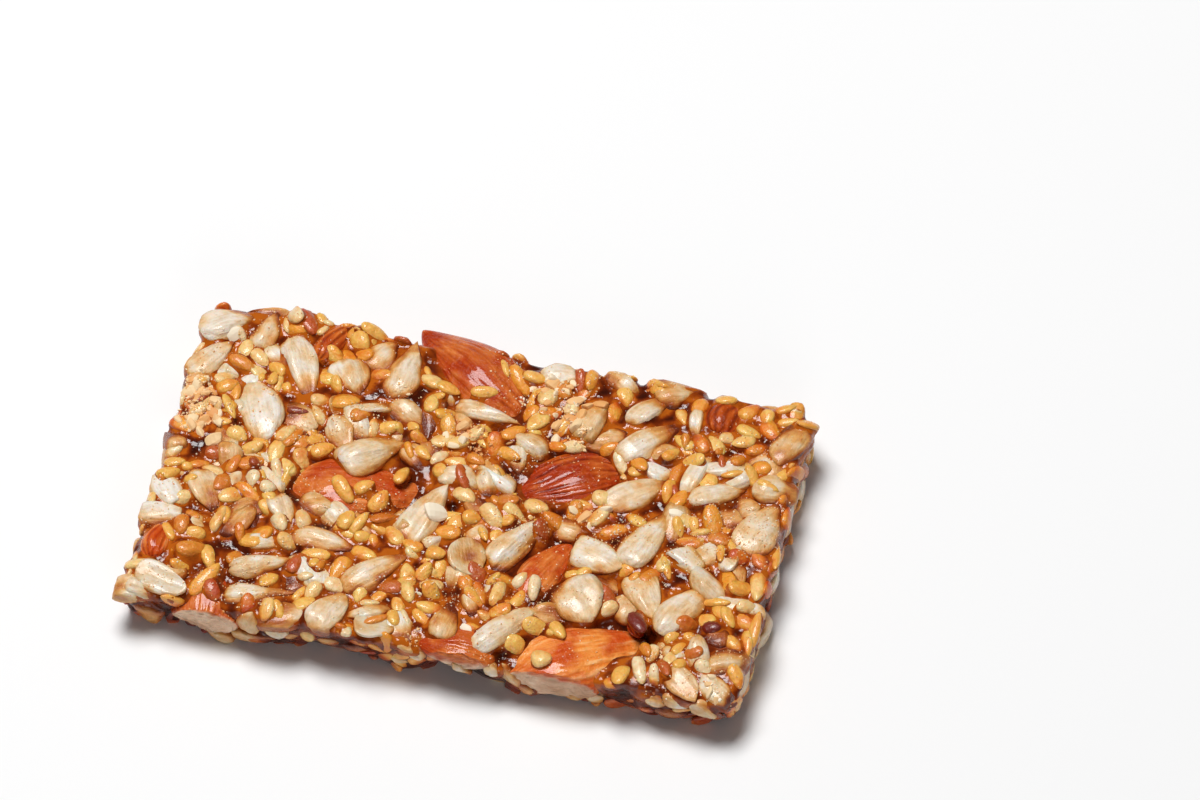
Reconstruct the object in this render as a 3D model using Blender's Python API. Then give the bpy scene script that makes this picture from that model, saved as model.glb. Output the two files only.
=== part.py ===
"""Seed and nut brittle bar: sunflower kernels, sesame seeds and almonds set in hard caramel.

The bar is one pressed slab. Its node `bar` is a caramel core with the kernels and seeds that show
fused on; the almonds, which are as large as berries, are nodes of their own in sockets of the slab.
Row frame: +X along the length, +Y to the back, +Z up, origin at the middle of the underside.
Places and sizes in the tables are millimetres on the bar; meshes are made in metres.
"""

import math

import bmesh
import bpy
import numpy as np
from mathutils import Matrix, Vector

MM = 0.001

# The slab of the bar.
LENGTH = 80.0
WIDTH = 48.0
THICKNESS = 8.0
EDGE_OVERHANG = 0.3

# The caramel core, lower and narrower than the slab because the seeds stand out of it.
CARAMEL_TOP = 6.95
SIDE_INSET = 1.0
FOOT_INSET = 1.1
SHOULDER_INSET = 0.7
CORNER_POWER = 13.0
OUTLINE_POINTS = 56
FOOT_CENTRE = (3.1, 1.7, 0.0)
# Where the lower front edge has broken away: its x, half its length, and its depth.
CHIPPED_FOOT = (2.5, 3.6, 2.6)

# A sunflower kernel lies flat unless it shows its narrow edge, and then it stands deeper.
KERNEL_DEPTH = 2.7
EDGE_ON_DEPTH = 4.0
EDGE_ON_WIDTH = 3.4
KERNEL_TOP = THICKNESS + 0.15
CHIP_DEPTH = 3.2

# A sesame seed, how many are laid, and how many of them the solid carries.
SESAME = (3.3, 2.1, 1.0)
SESAME_PATCH = 1.25
SESAME_TRIES = 14
SESAME_LIFT = 0.22
SESAME_APART = 2.6
TOP_SESAME = 620
TOP_SESAME_KEPT = 72
SIDE_SESAME_PER_MM = 1.1
SIDE_SESAME_KEPT_PER_MM = 0.13

# The seeds of the upright sides: the height of their middle row and how far they stand out.
SIDE_KERNELS_PER_MM = 0.11
SIDE_KERNEL = (8.0, 3.9)
SIDE_MIDDLE = 3.8
SIDE_BED_HEIGHT = 5.8
SIDE_KERNEL_OUT = 0.25
LOWEST_SEED = 0.2

# Points round a seed, rings along it, how blunt its outline is, and how much one end is fuller.
SHAPES = {
    "kernel": (6, 3, 0.55, 0.22),
    "sesame": (5, 2, 0.5, 0.2),
    "almond": (12, 7, 0.72, 0.22),
}

# Almond: name, x, y, length, width, thickness, turn in degrees, height of its middle.
ALMONDS = (
    ("almond_back", -4.2, 20.8, 20.5, 10.4, 6.4, 145, 4.9),
    ("almond_left", -14.2, -0.4, 20.5, 11.0, 6.4, 12, 4.7),
    ("almond_centre", 11.1, 6.2, 17.4, 10.4, 6.4, 208, 4.9),
    ("almond_sliver", 11.6, -8.0, 15.0, 6.6, 5.4, 68, 5.0),
    ("almond_front", 18.7, -19.6, 20.5, 11.6, 6.8, 30, 4.5),
    ("almond_corner", -28.9, -19.5, 17.0, 10.0, 5.6, 92, 4.3),
    ("almond_edge", 3.4, -22.6, 10.6, 6.4, 3.2, 176, 6.3),
)
# The knife went through these, and their cut faces lie in the front side.
CUT_AT_FRONT = ("almond_front", "almond_corner", "almond_edge")
FRONT_CUT = -WIDTH / 2 + 0.35
SOCKET_GAP = 0.3

# Sunflower kernel on the top face: x, y, length, width, turn in degrees, how far it is sunk.
KERNELS = (
    (-36.4, 23.0, 9.2, 5.4, 35, 0.0),
    (-31.6, 23.1, 7.0, 3.6, 82, 0.2),
    (-37.8, 15.0, 8.8, 4.4, 57, 0.0),
    (-25.6, 14.7, 11.6, 4.5, -62, 0.0),
    (-29.8, 16.9, 4.2, 3.5, -30, 0.6),
    (-29.4, 8.0, 10.4, 5.6, -68, -0.2),
    (-19.0, 15.6, 6.6, 5.2, -60, 0.0),
    (-16.2, 20.2, 6.6, 4.2, 60, 0.5),
    (-12.9, 18.2, 9.8, 4.9, 86, -0.2),
    (-14.8, 11.8, 8.6, 3.0, 22, 0.2),
    (-8.0, 12.0, 7.6, 4.2, -84, 0.5),
    (-6.6, 15.2, 5.8, 3.0, -62, 0.7),
    (-13.8, 4.4, 9.2, 5.2, 38, -0.5),
    (-18.5, 6.3, 7.2, 3.6, -65, 0.3),
    (-20.1, 10.6, 3.2, 2.4, -80, 0.4),
    (-22.6, -7.4, 6.8, 3.6, -62, 0.2),
    (-33.2, -6.0, 7.4, 4.2, -58, 0.0),
    (-38.5, -6.7, 5.2, 4.4, -50, 0.2),
    (-38.0, -10.7, 5.6, 3.8, 10, 0.3),
    (-26.3, -8.9, 5.0, 3.6, -50, 0.8),
    (-16.4, -10.4, 9.4, 3.5, -5, 0.1),
    (-23.4, -12.3, 6.2, 2.6, 12, 0.3),
    (-23.6, -15.6, 8.2, 3.6, 26, 0.1),
    (-22.6, -20.0, 9.6, 3.5, 15, 0.1),
    (-35.1, -21.0, 7.4, 3.8, -18, -0.1),
    (-13.5, -20.9, 7.8, 4.7, 74, -0.1),
    (-8.8, -13.3, 10.2, 4.5, 45, -0.2),
    (-4.9, -3.4, 10.8, 4.9, 72, -0.1),
    (-2.8, -7.1, 4.4, 2.7, 50, 0.4),
    (1.8, -8.9, 5.8, 5.0, -70, 0.1),
    (7.4, -5.6, 11.2, 4.0, 62, 0.0),
    (9.2, -18.4, 11.2, 4.0, 51, -0.2),
    (1.6, -18.4, 7.2, 4.0, 82, 0.0),
    (3.9, -16.4, 5.8, 2.6, -62, 0.2),
    (1.5, 2.8, 6.4, 2.7, -68, 0.3),
    (-0.9, 13.9, 9.6, 2.9, -8, -0.2),
    (5.8, 10.6, 4.8, 3.6, -25, 0.3),
    (6.7, 22.0, 4.2, 3.5, 10, 0.1),
    (12.2, 15.8, 7.8, 4.4, 78, -0.3),
    (19.4, 19.4, 8.2, 3.9, 55, 0.1),
    (20.2, 14.2, 9.8, 4.7, 48, -0.1),
    (25.4, 17.9, 6.0, 2.5, -78, 0.2),
    (27.3, 11.7, 10.2, 3.2, 77, 0.1),
    (30.5, 8.0, 8.4, 3.7, 30, 0.0),
    (20.3, 6.0, 9.4, 5.0, 40, 0.0),
    (36.9, 4.1, 10.2, 5.5, 72, 0.0),
    (23.1, -0.6, 11.2, 5.1, 72, -0.2),
    (17.6, -5.2, 6.6, 4.9, -20, 0.0),
    (28.8, -2.8, 5.6, 4.0, -35, 0.1),
    (25.0, -9.7, 8.6, 4.6, -57, 0.0),
    (30.2, -9.8, 10.8, 5.2, 65, -0.1),
    (16.9, -12.4, 7.4, 5.6, -45, -0.2),
    (19.8, -8.8, 6.0, 3.5, -5, 0.9),
    (37.6, 18.4, 7.4, 4.6, 70, 0.0),
    (37.4, -17.2, 5.2, 4.2, 20, 0.2),
    (32.6, -21.4, 5.4, 3.8, -40, 0.2),
    (36.9, -21.8, 5.2, 3.6, -30, 0.3),
    (-7.1, -22.2, 5.4, 3.6, 5, 0.1),
)

# Chopped almond with its skin on, too small to be a node: x, y, length, width, turn.
CHIPS = (
    (-23.1, 20.4, 7.0, 3.8, 70),
    (28.4, 20.4, 5.6, 5.0, 80),
    (-37.3, -15.1, 5.6, 3.6, 85),
    (24.9, -14.2, 2.8, 2.2, -50),
)

# Sunflower kernel or nut bit in the front side: x, height, length, width, turn in degrees.
FRONT_KERNELS = (
    (-37.0, 6.2, 5.2, 3.2, -10),
    (-36.9, 2.9, 5.6, 3.0, -18),
    (-23.0, 6.0, 3.8, 3.2, 80),
    (-20.0, 5.4, 4.4, 2.8, -35),
    (-22.5, 2.3, 5.8, 2.6, -5),
    (-27.6, 1.3, 5.6, 2.2, -12),
    (-17.1, 3.5, 4.2, 2.6, 10),
    (-13.6, 3.4, 4.6, 3.0, -20),
    (-9.0, 3.0, 5.2, 2.4, 8),
    (-2.4, 5.6, 5.0, 2.6, -25),
    (-3.4, 3.2, 4.4, 2.4, -15),
    (4.3, 4.2, 4.4, 2.0, -60),
    (8.9, 4.2, 4.8, 1.9, -65),
    (10.9, 4.4, 5.0, 2.1, -60),
    (13.2, 2.4, 3.8, 2.0, -25),
    (18.0, 1.9, 4.2, 2.0, -10),
    (22.6, 1.8, 4.8, 2.2, -12),
    (28.8, 4.9, 4.8, 2.8, -10),
    (32.6, 5.6, 4.6, 2.2, -5),
    (30.7, 2.5, 5.8, 2.0, -8),
    (36.4, 4.9, 5.4, 2.2, -38),
)

# The upright sides, front, back, right and left: middle, way along, way out, and length.
SIDES = (
    ((0, -WIDTH / 2), (1, 0), (0, -1), LENGTH),
    ((0, WIDTH / 2), (-1, 0), (0, 1), LENGTH),
    ((LENGTH / 2, 0), (0, 1), (1, 0), WIDTH),
    ((-LENGTH / 2, 0), (0, -1), (-1, 0), WIDTH),
)
CELL = 0.3

# Base colour and roughness of each material.
COLOURS = {
    "bar": ((0.62, 0.36, 0.13), 0.35),
    "almond": ((0.36, 0.08, 0.03), 0.25),
}


def clear_scene():
    for obj in list(bpy.data.objects):
        bpy.data.objects.remove(obj, do_unlink=True)


def material(name):
    """Principled BSDF with the part's colour and roughness; food has no metal in it."""
    colour, roughness = COLOURS[name]
    made = bpy.data.materials.new(name)
    made.use_nodes = True
    shader = made.node_tree.nodes["Principled BSDF"]
    shader.inputs["Base Color"].default_value = (*colour, 1.0)
    shader.inputs["Roughness"].default_value = roughness
    shader.inputs["Metallic"].default_value = 0.0
    return made


def turned(turn, tilt=0.0, roll=0.0):
    """Columns are a seed's long, wide and thin directions, for angles in degrees."""
    spin = Matrix.Rotation(math.radians(turn), 3, "Z")
    nose = Matrix.Rotation(math.radians(tilt), 3, "Y")
    lean = Matrix.Rotation(math.radians(roll), 3, "X")
    return np.array(spin @ nose @ lean)


def teardrop(t, power, skew):
    """Half-width along a seed, 0 at both ends and 1 at its widest; skew moves that to one end."""
    shape = np.sin(np.pi * t) ** power * (1 + skew * np.cos(np.pi * t))
    fine = np.linspace(0, 1, 201)
    return shape / (np.sin(np.pi * fine) ** power * (1 + skew * np.cos(np.pi * fine))).max()


def seed_shell(kind, size, turn_ring=0.0):
    """A closed teardrop: a point at each end, and rings of points that follow the outline."""
    sides, rings, power, skew = SHAPES[kind]
    length, width, depth = size
    steps = np.arange(1, rings + 1) / (rings + 1)
    t = (1 - np.cos(np.pi * steps)) / 2
    angle = 2 * np.pi * (np.arange(sides) + turn_ring) / sides
    girth = teardrop(t, power, skew)
    x = np.repeat((t - 0.5) * length, sides)
    y = np.outer(girth, np.cos(angle)).ravel() * width / 2
    z = np.outer(girth, np.sin(angle)).ravel() * depth / 2
    ends = np.array([[-length / 2, 0, 0], [length / 2, 0, 0]])
    points = np.vstack([np.column_stack([x, y, z]), ends])
    first, last = rings * sides, rings * sides + 1
    faces = []
    for k in range(sides):
        after = (k + 1) % sides
        faces.append((first, after, k))
        faces.append((last, (rings - 1) * sides + k, (rings - 1) * sides + after))
        for ring in range(rings - 1):
            low, high = ring * sides, (ring + 1) * sides
            faces.append((low + k, low + after, high + after, high + k))
    return points, faces


def outline_wave(along, phase):
    """How far a side bulges out of its straight cut, in mm, as broken seeds leave it uneven."""
    slow = 0.42 * np.sin(2 * np.pi * along / 31 + phase)
    return slow + 0.26 * np.sin(2 * np.pi * along / 12.5 + 2.3 * phase)


class Bed:
    """A face's height map, on which seeds come to rest where it is lowest.

    Local axes are u along the face, v across it and h out of it, all in mm.
    """

    def __init__(self, long, wide, level, rng):
        self.half = (long / 2, wide / 2)
        self.u = np.arange(-long / 2, long / 2 + CELL, CELL)
        self.v = np.arange(-wide / 2, wide / 2 + CELL, CELL)
        self.height = np.full((len(self.u), len(self.v)), float(level))
        self.rng = rng

    def window(self, u, v, reach):
        """Slices of the map within reach of a point."""
        i = np.searchsorted(self.u, [u - reach, u + reach])
        j = np.searchsorted(self.v, [v - reach, v + reach])
        return slice(*i), slice(*j)

    def raise_to(self, centre, axes, size):
        """Lifts the map to the upper half of an ellipsoid with these axes and full sizes."""
        form = axes @ np.diag(4 / np.square(size)) @ axes.T
        place = self.window(centre[0], centre[1], max(size) / 2)
        du = self.u[place[0]][:, None] - centre[0]
        dv = self.v[place[1]][None, :] - centre[1]
        lean = form[0, 2] * du + form[1, 2] * dv
        rest = form[0, 0] * du**2 + 2 * form[0, 1] * du * dv + form[1, 1] * dv**2 - 1
        inside = lean**2 - form[2, 2] * rest
        top = centre[2] + (np.sqrt(np.maximum(inside, 0)) - lean) / form[2, 2]
        here = self.height[place]
        self.height[place] = np.where(inside > 0, np.maximum(here, top), here)

    def slope_at(self, u, v, reach):
        """Mean height and slope of the map under a seed, by least squares on a round patch."""
        place = self.window(u, v, reach)
        du = self.u[place[0]][:, None] - u
        dv = self.v[place[1]][None, :] - v
        under = (du**2 + dv**2 < reach**2).astype(float)
        if under.sum() < 12:
            return None
        here = self.height[place]
        mean = (here * under).sum() / under.sum()
        off = (here - mean) * under
        rise_u = (off * du).sum() / (under * du**2).sum()
        rise_v = (off * dv).sum() / (under * dv**2).sum()
        return mean, rise_u, rise_v

    def settle(self, count, ceiling):
        """Lays sesame one by one in the lowest of a few tried places, leaning with the slope."""
        laid = []
        for _ in range(count):
            tries = []
            for _ in range(SESAME_TRIES):
                u = self.rng.uniform(-self.half[0], self.half[0])
                v = self.rng.uniform(-self.half[1], self.half[1])
                found = self.slope_at(u, v, SESAME_PATCH)
                if found is not None:
                    tries.append((found[0], u, v, found[1], found[2]))
            mean, u, v, rise_u, rise_v = min(tries)
            turn = self.rng.uniform(0, 360)
            scale = self.rng.uniform(0.86, 1.12)
            shake = self.rng.normal(0, 0.12, 2)
            if mean > ceiling:
                continue
            out = Vector((-rise_u * 0.8 + shake[0], -rise_v * 0.8 + shake[1], 1)).normalized()
            lean = Vector((0, 0, 1)).rotation_difference(out).to_matrix()
            axes = np.array(lean) @ turned(turn)
            centre = np.array([u, v, min(mean + SESAME_LIFT, ceiling)])
            own = np.array(SESAME) * scale
            self.raise_to(centre, axes, own)
            laid.append((centre, axes, own))
        return laid


def kept_inside(x, y, length, width, turn):
    """The place of a seed, moved in as far as its plan would stick out of the bar's edges."""
    way = math.radians(turn)
    reach_x = math.hypot(length / 2 * math.cos(way), width / 2 * math.sin(way))
    reach_y = math.hypot(length / 2 * math.sin(way), width / 2 * math.cos(way))
    limit_x = LENGTH / 2 + EDGE_OVERHANG - reach_x
    limit_y = WIDTH / 2 + EDGE_OVERHANG - reach_y
    return min(max(x, -limit_x), limit_x), min(max(y, -limit_y), limit_y)


def kernel_place(row):
    """Centre, axes and full size of a sunflower kernel on the top face, from its table row."""
    x, y, length, width, turn, sunk = row
    x, y = kept_inside(x, y, length, width, turn)
    edge_on = width < EDGE_ON_WIDTH
    depth = EDGE_ON_DEPTH if edge_on else KERNEL_DEPTH
    depth *= min(1.0, 0.55 + length / 18)
    axes = turned(turn, 6 * math.sin(1.7 * x), 9 * math.sin(2.3 * y))
    centre = np.array([x, y, KERNEL_TOP - sunk - depth / 2])
    return centre, axes, np.array([length, width, depth])


def almond_mesh(row, grow=0.0):
    """Points and faces of an almond; grow makes the larger form that hollows its socket."""
    _, x, y, length, width, thickness, turn, middle = row
    points, faces = seed_shell("almond", (length + 2 * grow, width + 2 * grow, thickness + 2 * grow))
    return points @ turned(turn).T + np.array([x, y, middle]), faces


def new_object(name, points, faces, collection):
    """An object at the origin, from points in mm."""
    mesh = bpy.data.meshes.new(name)
    mesh.from_pydata((np.asarray(points) * MM).tolist(), [], faces)
    obj = bpy.data.objects.new(name, mesh)
    collection.objects.link(obj)
    return obj


def cut_front(obj):
    """Slices an almond flat where the knife cut the front of the bar, and caps it."""
    shape = bmesh.new()
    shape.from_mesh(obj.data)
    sliced = bmesh.ops.bisect_plane(
        shape,
        geom=shape.verts[:] + shape.edges[:] + shape.faces[:],
        plane_co=(0, FRONT_CUT * MM, 0),
        plane_no=(0, -1, 0),
        clear_outer=True,
    )
    rim = [item for item in sliced["geom_cut"] if isinstance(item, bmesh.types.BMEdge)]
    bmesh.ops.contextual_create(shape, geom=rim)
    bmesh.ops.recalc_face_normals(shape, faces=shape.faces[:])
    shape.to_mesh(obj.data)
    shape.free()


def core_rings():
    """The caramel slab's rings from the foot up to the crown: each is (height, inset)."""
    return (
        (0.0, FOOT_INSET),
        (0.55, 0.15),
        (THICKNESS * 0.4, 0.0),
        (CARAMEL_TOP - SHOULDER_INSET, 0.0),
        (CARAMEL_TOP, SHOULDER_INSET),
        (CARAMEL_TOP + 0.05, 6.0),
        (CARAMEL_TOP - 0.05, 14.0),
    )


def core_mesh():
    """The core: a rounded rectangle with wavy sides, stacked in rings and closed by two fans."""
    count = OUTLINE_POINTS
    points = []
    levels = core_rings()
    for level, (height, inset) in enumerate(levels):
        half_x = LENGTH / 2 - SIDE_INSET - inset
        half_y = WIDTH / 2 - SIDE_INSET - inset
        angle = 2 * np.pi * np.arange(count) / count
        bulge = np.abs(np.cos(angle)) ** CORNER_POWER + np.abs(np.sin(angle)) ** CORNER_POWER
        spread = bulge ** (-1 / CORNER_POWER)
        x = half_x * spread * np.cos(angle)
        y = half_y * spread * np.sin(angle)
        wave = outline_wave(x + 1.7 * y, 0.6 * level) * (1.0 if inset < 2 else 0.0)
        reach = np.hypot(x, y)
        x, y = x * (1 + wave / reach), y * (1 + wave / reach)
        if height < THICKNESS / 2:
            middle, half_wide, deep = CHIPPED_FOOT
            chip = deep * (1 - height / THICKNESS * 2) * np.exp(-(((x - middle) / half_wide) ** 2))
            y = np.where(y < -half_y / 2, y + chip, y)
        z = np.full(count, height) + (0.18 * np.sin(0.9 * x) * np.cos(0.8 * y) if level > 4 else 0.0)
        points.append(np.column_stack([x, y, z]))
    points = np.vstack(points + [[FOOT_CENTRE], [(0.0, 0.0, CARAMEL_TOP)]])
    foot, crown = len(points) - 2, len(points) - 1
    last = (len(levels) - 1) * count
    faces = []
    for k in range(count):
        after = (k + 1) % count
        faces.append((foot, after, k))
        faces.append((crown, last + k, last + after))
        for level in range(len(levels) - 1):
            low, high = level * count, (level + 1) * count
            faces.append((low + k, low + after, high + after, high + k))
    return points, faces


def over_almond(x, y, slack):
    """True where a point of the plan lies over an almond."""
    for _, ax, ay, length, width, _, turn, _ in ALMONDS:
        way = math.radians(turn)
        along = (x - ax) * math.cos(way) + (y - ay) * math.sin(way)
        across = (y - ay) * math.cos(way) - (x - ax) * math.sin(way)
        if (along / (length / 2 + slack)) ** 2 + (across / (width / 2 + slack)) ** 2 < 1:
            return True
    return False


def top_seeds():
    """Kernels, chips and sesame of the top face, as lists of (centre, axes, size)."""
    rng = np.random.default_rng(11)
    bed = Bed(LENGTH - 1.6, WIDTH - 1.6, CARAMEL_TOP - 0.6, rng)
    for _, x, y, length, width, thickness, turn, middle in ALMONDS:
        bed.raise_to(np.array([x, y, middle]), turned(turn), (length, width, thickness))
    kernels = [kernel_place(row) for row in KERNELS]
    for x, y, length, width, turn in CHIPS:
        centre = np.array([x, y, THICKNESS - CHIP_DEPTH / 2])
        kernels.append((centre, turned(turn, 4, 6), np.array([length, width, CHIP_DEPTH])))
    for centre, axes, size in kernels:
        bed.raise_to(centre, axes, size)
    sesame = bed.settle(TOP_SESAME, THICKNESS - 0.35)
    return kernels, sesame


def side_rows(index, length):
    """Kernels of one upright side: spread evenly, but on the front side taken from their table."""
    if index == 0:
        return FRONT_KERNELS
    count = round(SIDE_KERNELS_PER_MM * length)
    rows = []
    for k in range(count):
        u = ((k + 0.5) / count - 0.5) * (length - 7)
        height = SIDE_MIDDLE + 1.5 * math.sin(2.4 * k + index)
        long = SIDE_KERNEL[0] + 1.3 * math.sin(1.9 * k + index)
        rows.append((u, height, long, SIDE_KERNEL[1], 18 * math.sin(3.1 * k + index)))
    return rows


def side_seeds(index):
    """Kernels and sesame of one upright side, in the row frame."""
    middle, along, out, length = SIDES[index]
    rng = np.random.default_rng(40 + index)
    bed = Bed(length - 5.4, SIDE_BED_HEIGHT - 0.4, -SIDE_INSET, rng)
    bed.height += outline_wave(bed.u, 1.1 * index)[:, None]
    kernels = []
    for k, (u, height, long, wide, turn) in enumerate(side_rows(index, length)):
        size = np.array([long, wide, min(KERNEL_DEPTH, wide)])
        axes = turned(turn + 180 * (k % 2), 8 * math.sin(1.7 * k), 14 * math.sin(2.3 * k))
        wave = float(outline_wave(np.array(u), 1.1 * index))
        sunk = SIDE_KERNEL_OUT - size[2] / 2 + 0.2 * math.sin(2.9 * k)
        kernels.append((np.array([u, height - SIDE_MIDDLE, wave + sunk]), axes, size))
    for centre, axes, size in kernels:
        bed.raise_to(centre, axes, size)
    sesame = bed.settle(round(SIDE_SESAME_PER_MM * length), 0.1)
    frame = np.array([(*along, 0), (0, 0, 1), (*out, 0)], float).T
    origin = np.array([*middle, SIDE_MIDDLE])
    moved = []
    for group in (kernels, sesame):
        moved.append([(origin + frame @ c, frame @ a, s) for c, a, s in group])
    return moved


def spaced(seeds, wanted):
    """The first seeds that keep a distance from those already taken."""
    taken = []
    for seed in seeds:
        near = [np.linalg.norm(seed[0] - other[0]) < SESAME_APART for other in taken]
        if not any(near):
            taken.append(seed)
        if len(taken) == wanted:
            break
    return taken


def add_seeds(seeds, kind, collection):
    """One low-sided closed shell for each seed, clear of the flat underside."""
    for k, (centre, axes, size) in enumerate(seeds):
        points, faces = seed_shell(kind, size, turn_ring=0.37 * (k % 3))
        points = points @ axes.T + centre
        points[:, 2] += max(0.0, LOWEST_SEED - points[:, 2].min())
        new_object(f"{kind}_{k}", points, faces, collection)


def boolean(obj, collection, operation):
    """Applies one Boolean with every object of a collection, then removes them.

    MANIFOLD joins these many small closed shells in a moment and leaves one closed mesh.
    """
    modifier = obj.modifiers.new(operation.lower(), "BOOLEAN")
    modifier.operation = operation
    modifier.operand_type = "COLLECTION"
    modifier.collection = collection
    modifier.solver = "MANIFOLD"
    graph = bpy.context.evaluated_depsgraph_get()
    mesh = bpy.data.meshes.new_from_object(obj.evaluated_get(graph))
    obj.modifiers.clear()
    obj.data = mesh
    for used in list(collection.objects):
        bpy.data.objects.remove(used, do_unlink=True)
    bpy.data.collections.remove(collection)


def keep_outer_body(obj):
    """Keeps the shell with the most points: loose scraps go, and sealed hollows are filled."""
    shape = bmesh.new()
    shape.from_mesh(obj.data)
    unseen = set(shape.verts)
    islands = []
    while unseen:
        front = [unseen.pop()]
        island = list(front)
        while front:
            reached = {edge.other_vert(v) for v in front for edge in v.link_edges} & unseen
            unseen -= reached
            front = list(reached)
            island += front
        islands.append(island)
    islands.sort(key=lambda island: -len(island))
    loose = [vert for island in islands[1:] for vert in island]
    bmesh.ops.delete(shape, geom=loose, context="VERTS")
    shape.to_mesh(obj.data)
    shape.free()


def build():
    clear_scene()
    scene = bpy.context.scene.collection
    bar = new_object("bar", *core_mesh(), scene)

    kernels, sesame = top_seeds()
    clear = [s for s in sesame if not over_almond(s[0][0], s[0][1], 0.8)]
    high = [s for s in clear if s[0][2] > CARAMEL_TOP - 0.1]
    shown_sesame = spaced(high, TOP_SESAME_KEPT)
    for index, side in enumerate(SIDES):
        side_kernels, side_sesame = side_seeds(index)
        kernels += side_kernels
        shown_sesame += spaced(side_sesame[::-1], round(SIDE_SESAME_KEPT_PER_MM * side[3]))

    seeds = bpy.data.collections.new("seeds")
    scene.children.link(seeds)
    add_seeds(kernels, "kernel", seeds)
    add_seeds(shown_sesame, "sesame", seeds)
    boolean(bar, seeds, "UNION")

    sockets = bpy.data.collections.new("sockets")
    scene.children.link(sockets)
    for row in ALMONDS:
        new_object("socket_" + row[0], *almond_mesh(row, SOCKET_GAP), sockets)
    boolean(bar, sockets, "DIFFERENCE")
    keep_outer_body(bar)
    bar.data.materials.clear()
    bar.data.materials.append(material("bar"))

    skin = material("almond")
    for row in ALMONDS:
        almond = new_object(row[0], *almond_mesh(row), scene)
        if row[0] in CUT_AT_FRONT:
            cut_front(almond)
        almond.data.materials.append(skin)
    for obj in bpy.data.objects:
        obj.data.set_sharp_from_angle(angle=math.radians(50))


build()
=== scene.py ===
"""Looks of a seed and nut brittle bar: almonds, sunflower kernels and sesame bound by caramel."""
import math

import bpy
import numpy as np
from mathutils import Matrix, Vector
from mathutils.bvhtree import BVHTree


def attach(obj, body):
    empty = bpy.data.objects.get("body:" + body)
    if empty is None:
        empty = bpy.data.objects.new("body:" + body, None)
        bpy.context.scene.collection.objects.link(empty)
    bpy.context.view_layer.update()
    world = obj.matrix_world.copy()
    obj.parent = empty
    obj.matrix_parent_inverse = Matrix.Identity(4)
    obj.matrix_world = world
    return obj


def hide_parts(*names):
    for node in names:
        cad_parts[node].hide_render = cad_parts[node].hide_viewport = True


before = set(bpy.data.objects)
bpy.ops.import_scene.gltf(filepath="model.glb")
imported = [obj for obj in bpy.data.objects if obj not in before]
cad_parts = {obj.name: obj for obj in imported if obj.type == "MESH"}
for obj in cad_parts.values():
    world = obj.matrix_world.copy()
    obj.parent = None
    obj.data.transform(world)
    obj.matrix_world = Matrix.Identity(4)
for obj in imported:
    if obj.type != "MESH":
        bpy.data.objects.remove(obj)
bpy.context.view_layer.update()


# The bar itself. It was pressed flat as a hot sheet and cut with a knife, so its top and its
# underside are level and its four sides are straight, apart from seeds that broke unevenly.
# Its sizes are the solid's: 80 by 48 by 8 mm, and places below are in mm in the solid's frame.
MM = 0.001
LENGTH = 80.0
WIDTH = 48.0
THICKNESS = 8.0


# Almonds. Whole kernels in their brown skins, dropped into the hot mix. The skin dried into
# wrinkles along the nut, and the caramel left a wet gloss on it. The knife cut three of them,
# and their pale meat shows in the front side.
# Name, x, y, length, width, thickness, turn in degrees, height of the middle, depth of wrinkles,
# and tone of the skin from 0 for dark red-brown to 1 for light orange-brown; the front almond's
# tone of 1 is partly a painted highlight.
ALMONDS = (
    ("almond_back", -4.2, 20.8, 20.5, 10.4, 6.4, 145, 4.9, 0.06, 0.4),
    ("almond_left", -14.2, -0.4, 20.5, 11.0, 6.4, 12, 4.7, 0.03, 0.6),
    ("almond_centre", 11.1, 6.2, 17.4, 10.4, 6.4, 208, 4.9, 0.11, 0.3),
    ("almond_sliver", 11.6, -8.0, 15.0, 6.6, 5.4, 68, 5.0, 0.03, 0.68),
    # Lighter than its skin alone: its tone of 1 also paints in a broad glossy highlight.
    ("almond_front", 18.7, -19.6, 20.5, 11.6, 6.8, 30, 4.5, 0.03, 1.0),
    ("almond_corner", -28.9, -19.5, 17.0, 10.0, 5.6, 92, 4.3, 0.06, 0.5),
    ("almond_edge", 3.4, -22.6, 10.6, 6.4, 3.2, 176, 6.3, 0.06, 0.45),
)
CUT_AT_FRONT = ("almond_front", "almond_corner", "almond_edge")
FRONT_CUT = -WIDTH / 2 + 0.05
# Height at which the pale cut face ends in a rim of glazed skin.
GLAZE_RIM = 6.5
ALMOND_OUTLINE = (0.72, 0.22)
ALMOND_GRID = (190, 96)
FURROWS_ROUND = range(9, 46)
WRINKLES_AT_FULL_SHADE = 0.14


def turned(turn, tilt=0.0, roll=0.0):
    """Columns are a seed's long, wide and thin directions, for angles in degrees."""
    spin = Matrix.Rotation(math.radians(turn), 3, "Z")
    nose = Matrix.Rotation(math.radians(tilt), 3, "Y")
    lean = Matrix.Rotation(math.radians(roll), 3, "X")
    return np.array(spin @ nose @ lean)


def ripple(points, seed, count, lowest, highest):
    """A smooth random field in space: a sum of sines with wave numbers (per mm) in a range."""
    draw = np.random.default_rng(seed)
    way = draw.normal(size=(count, 3))
    way /= np.linalg.norm(way, axis=1, keepdims=True)
    number = draw.uniform(lowest, highest, count)
    phase = draw.uniform(0, 2 * np.pi, count)
    return np.sin(points @ (way * number[:, None] * 2 * np.pi).T + phase).sum(axis=1) / math.sqrt(count)


def wobble(points, seed, count, lowest, highest):
    """Three such fields side by side, to push points about with."""
    return np.column_stack([ripple(points, seed + k, count, lowest, highest) for k in range(3)])


def teardrop(t, power, skew):
    """Half-width along a seed, 0 at both ends and 1 at its widest; skew moves that to one end."""
    fine = np.linspace(0, 1, 201)
    widest = (np.sin(np.pi * fine) ** power * (1 + skew * np.cos(np.pi * fine))).max()
    return np.sin(np.pi * t) ** power * (1 + skew * np.cos(np.pi * t)) / widest


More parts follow.
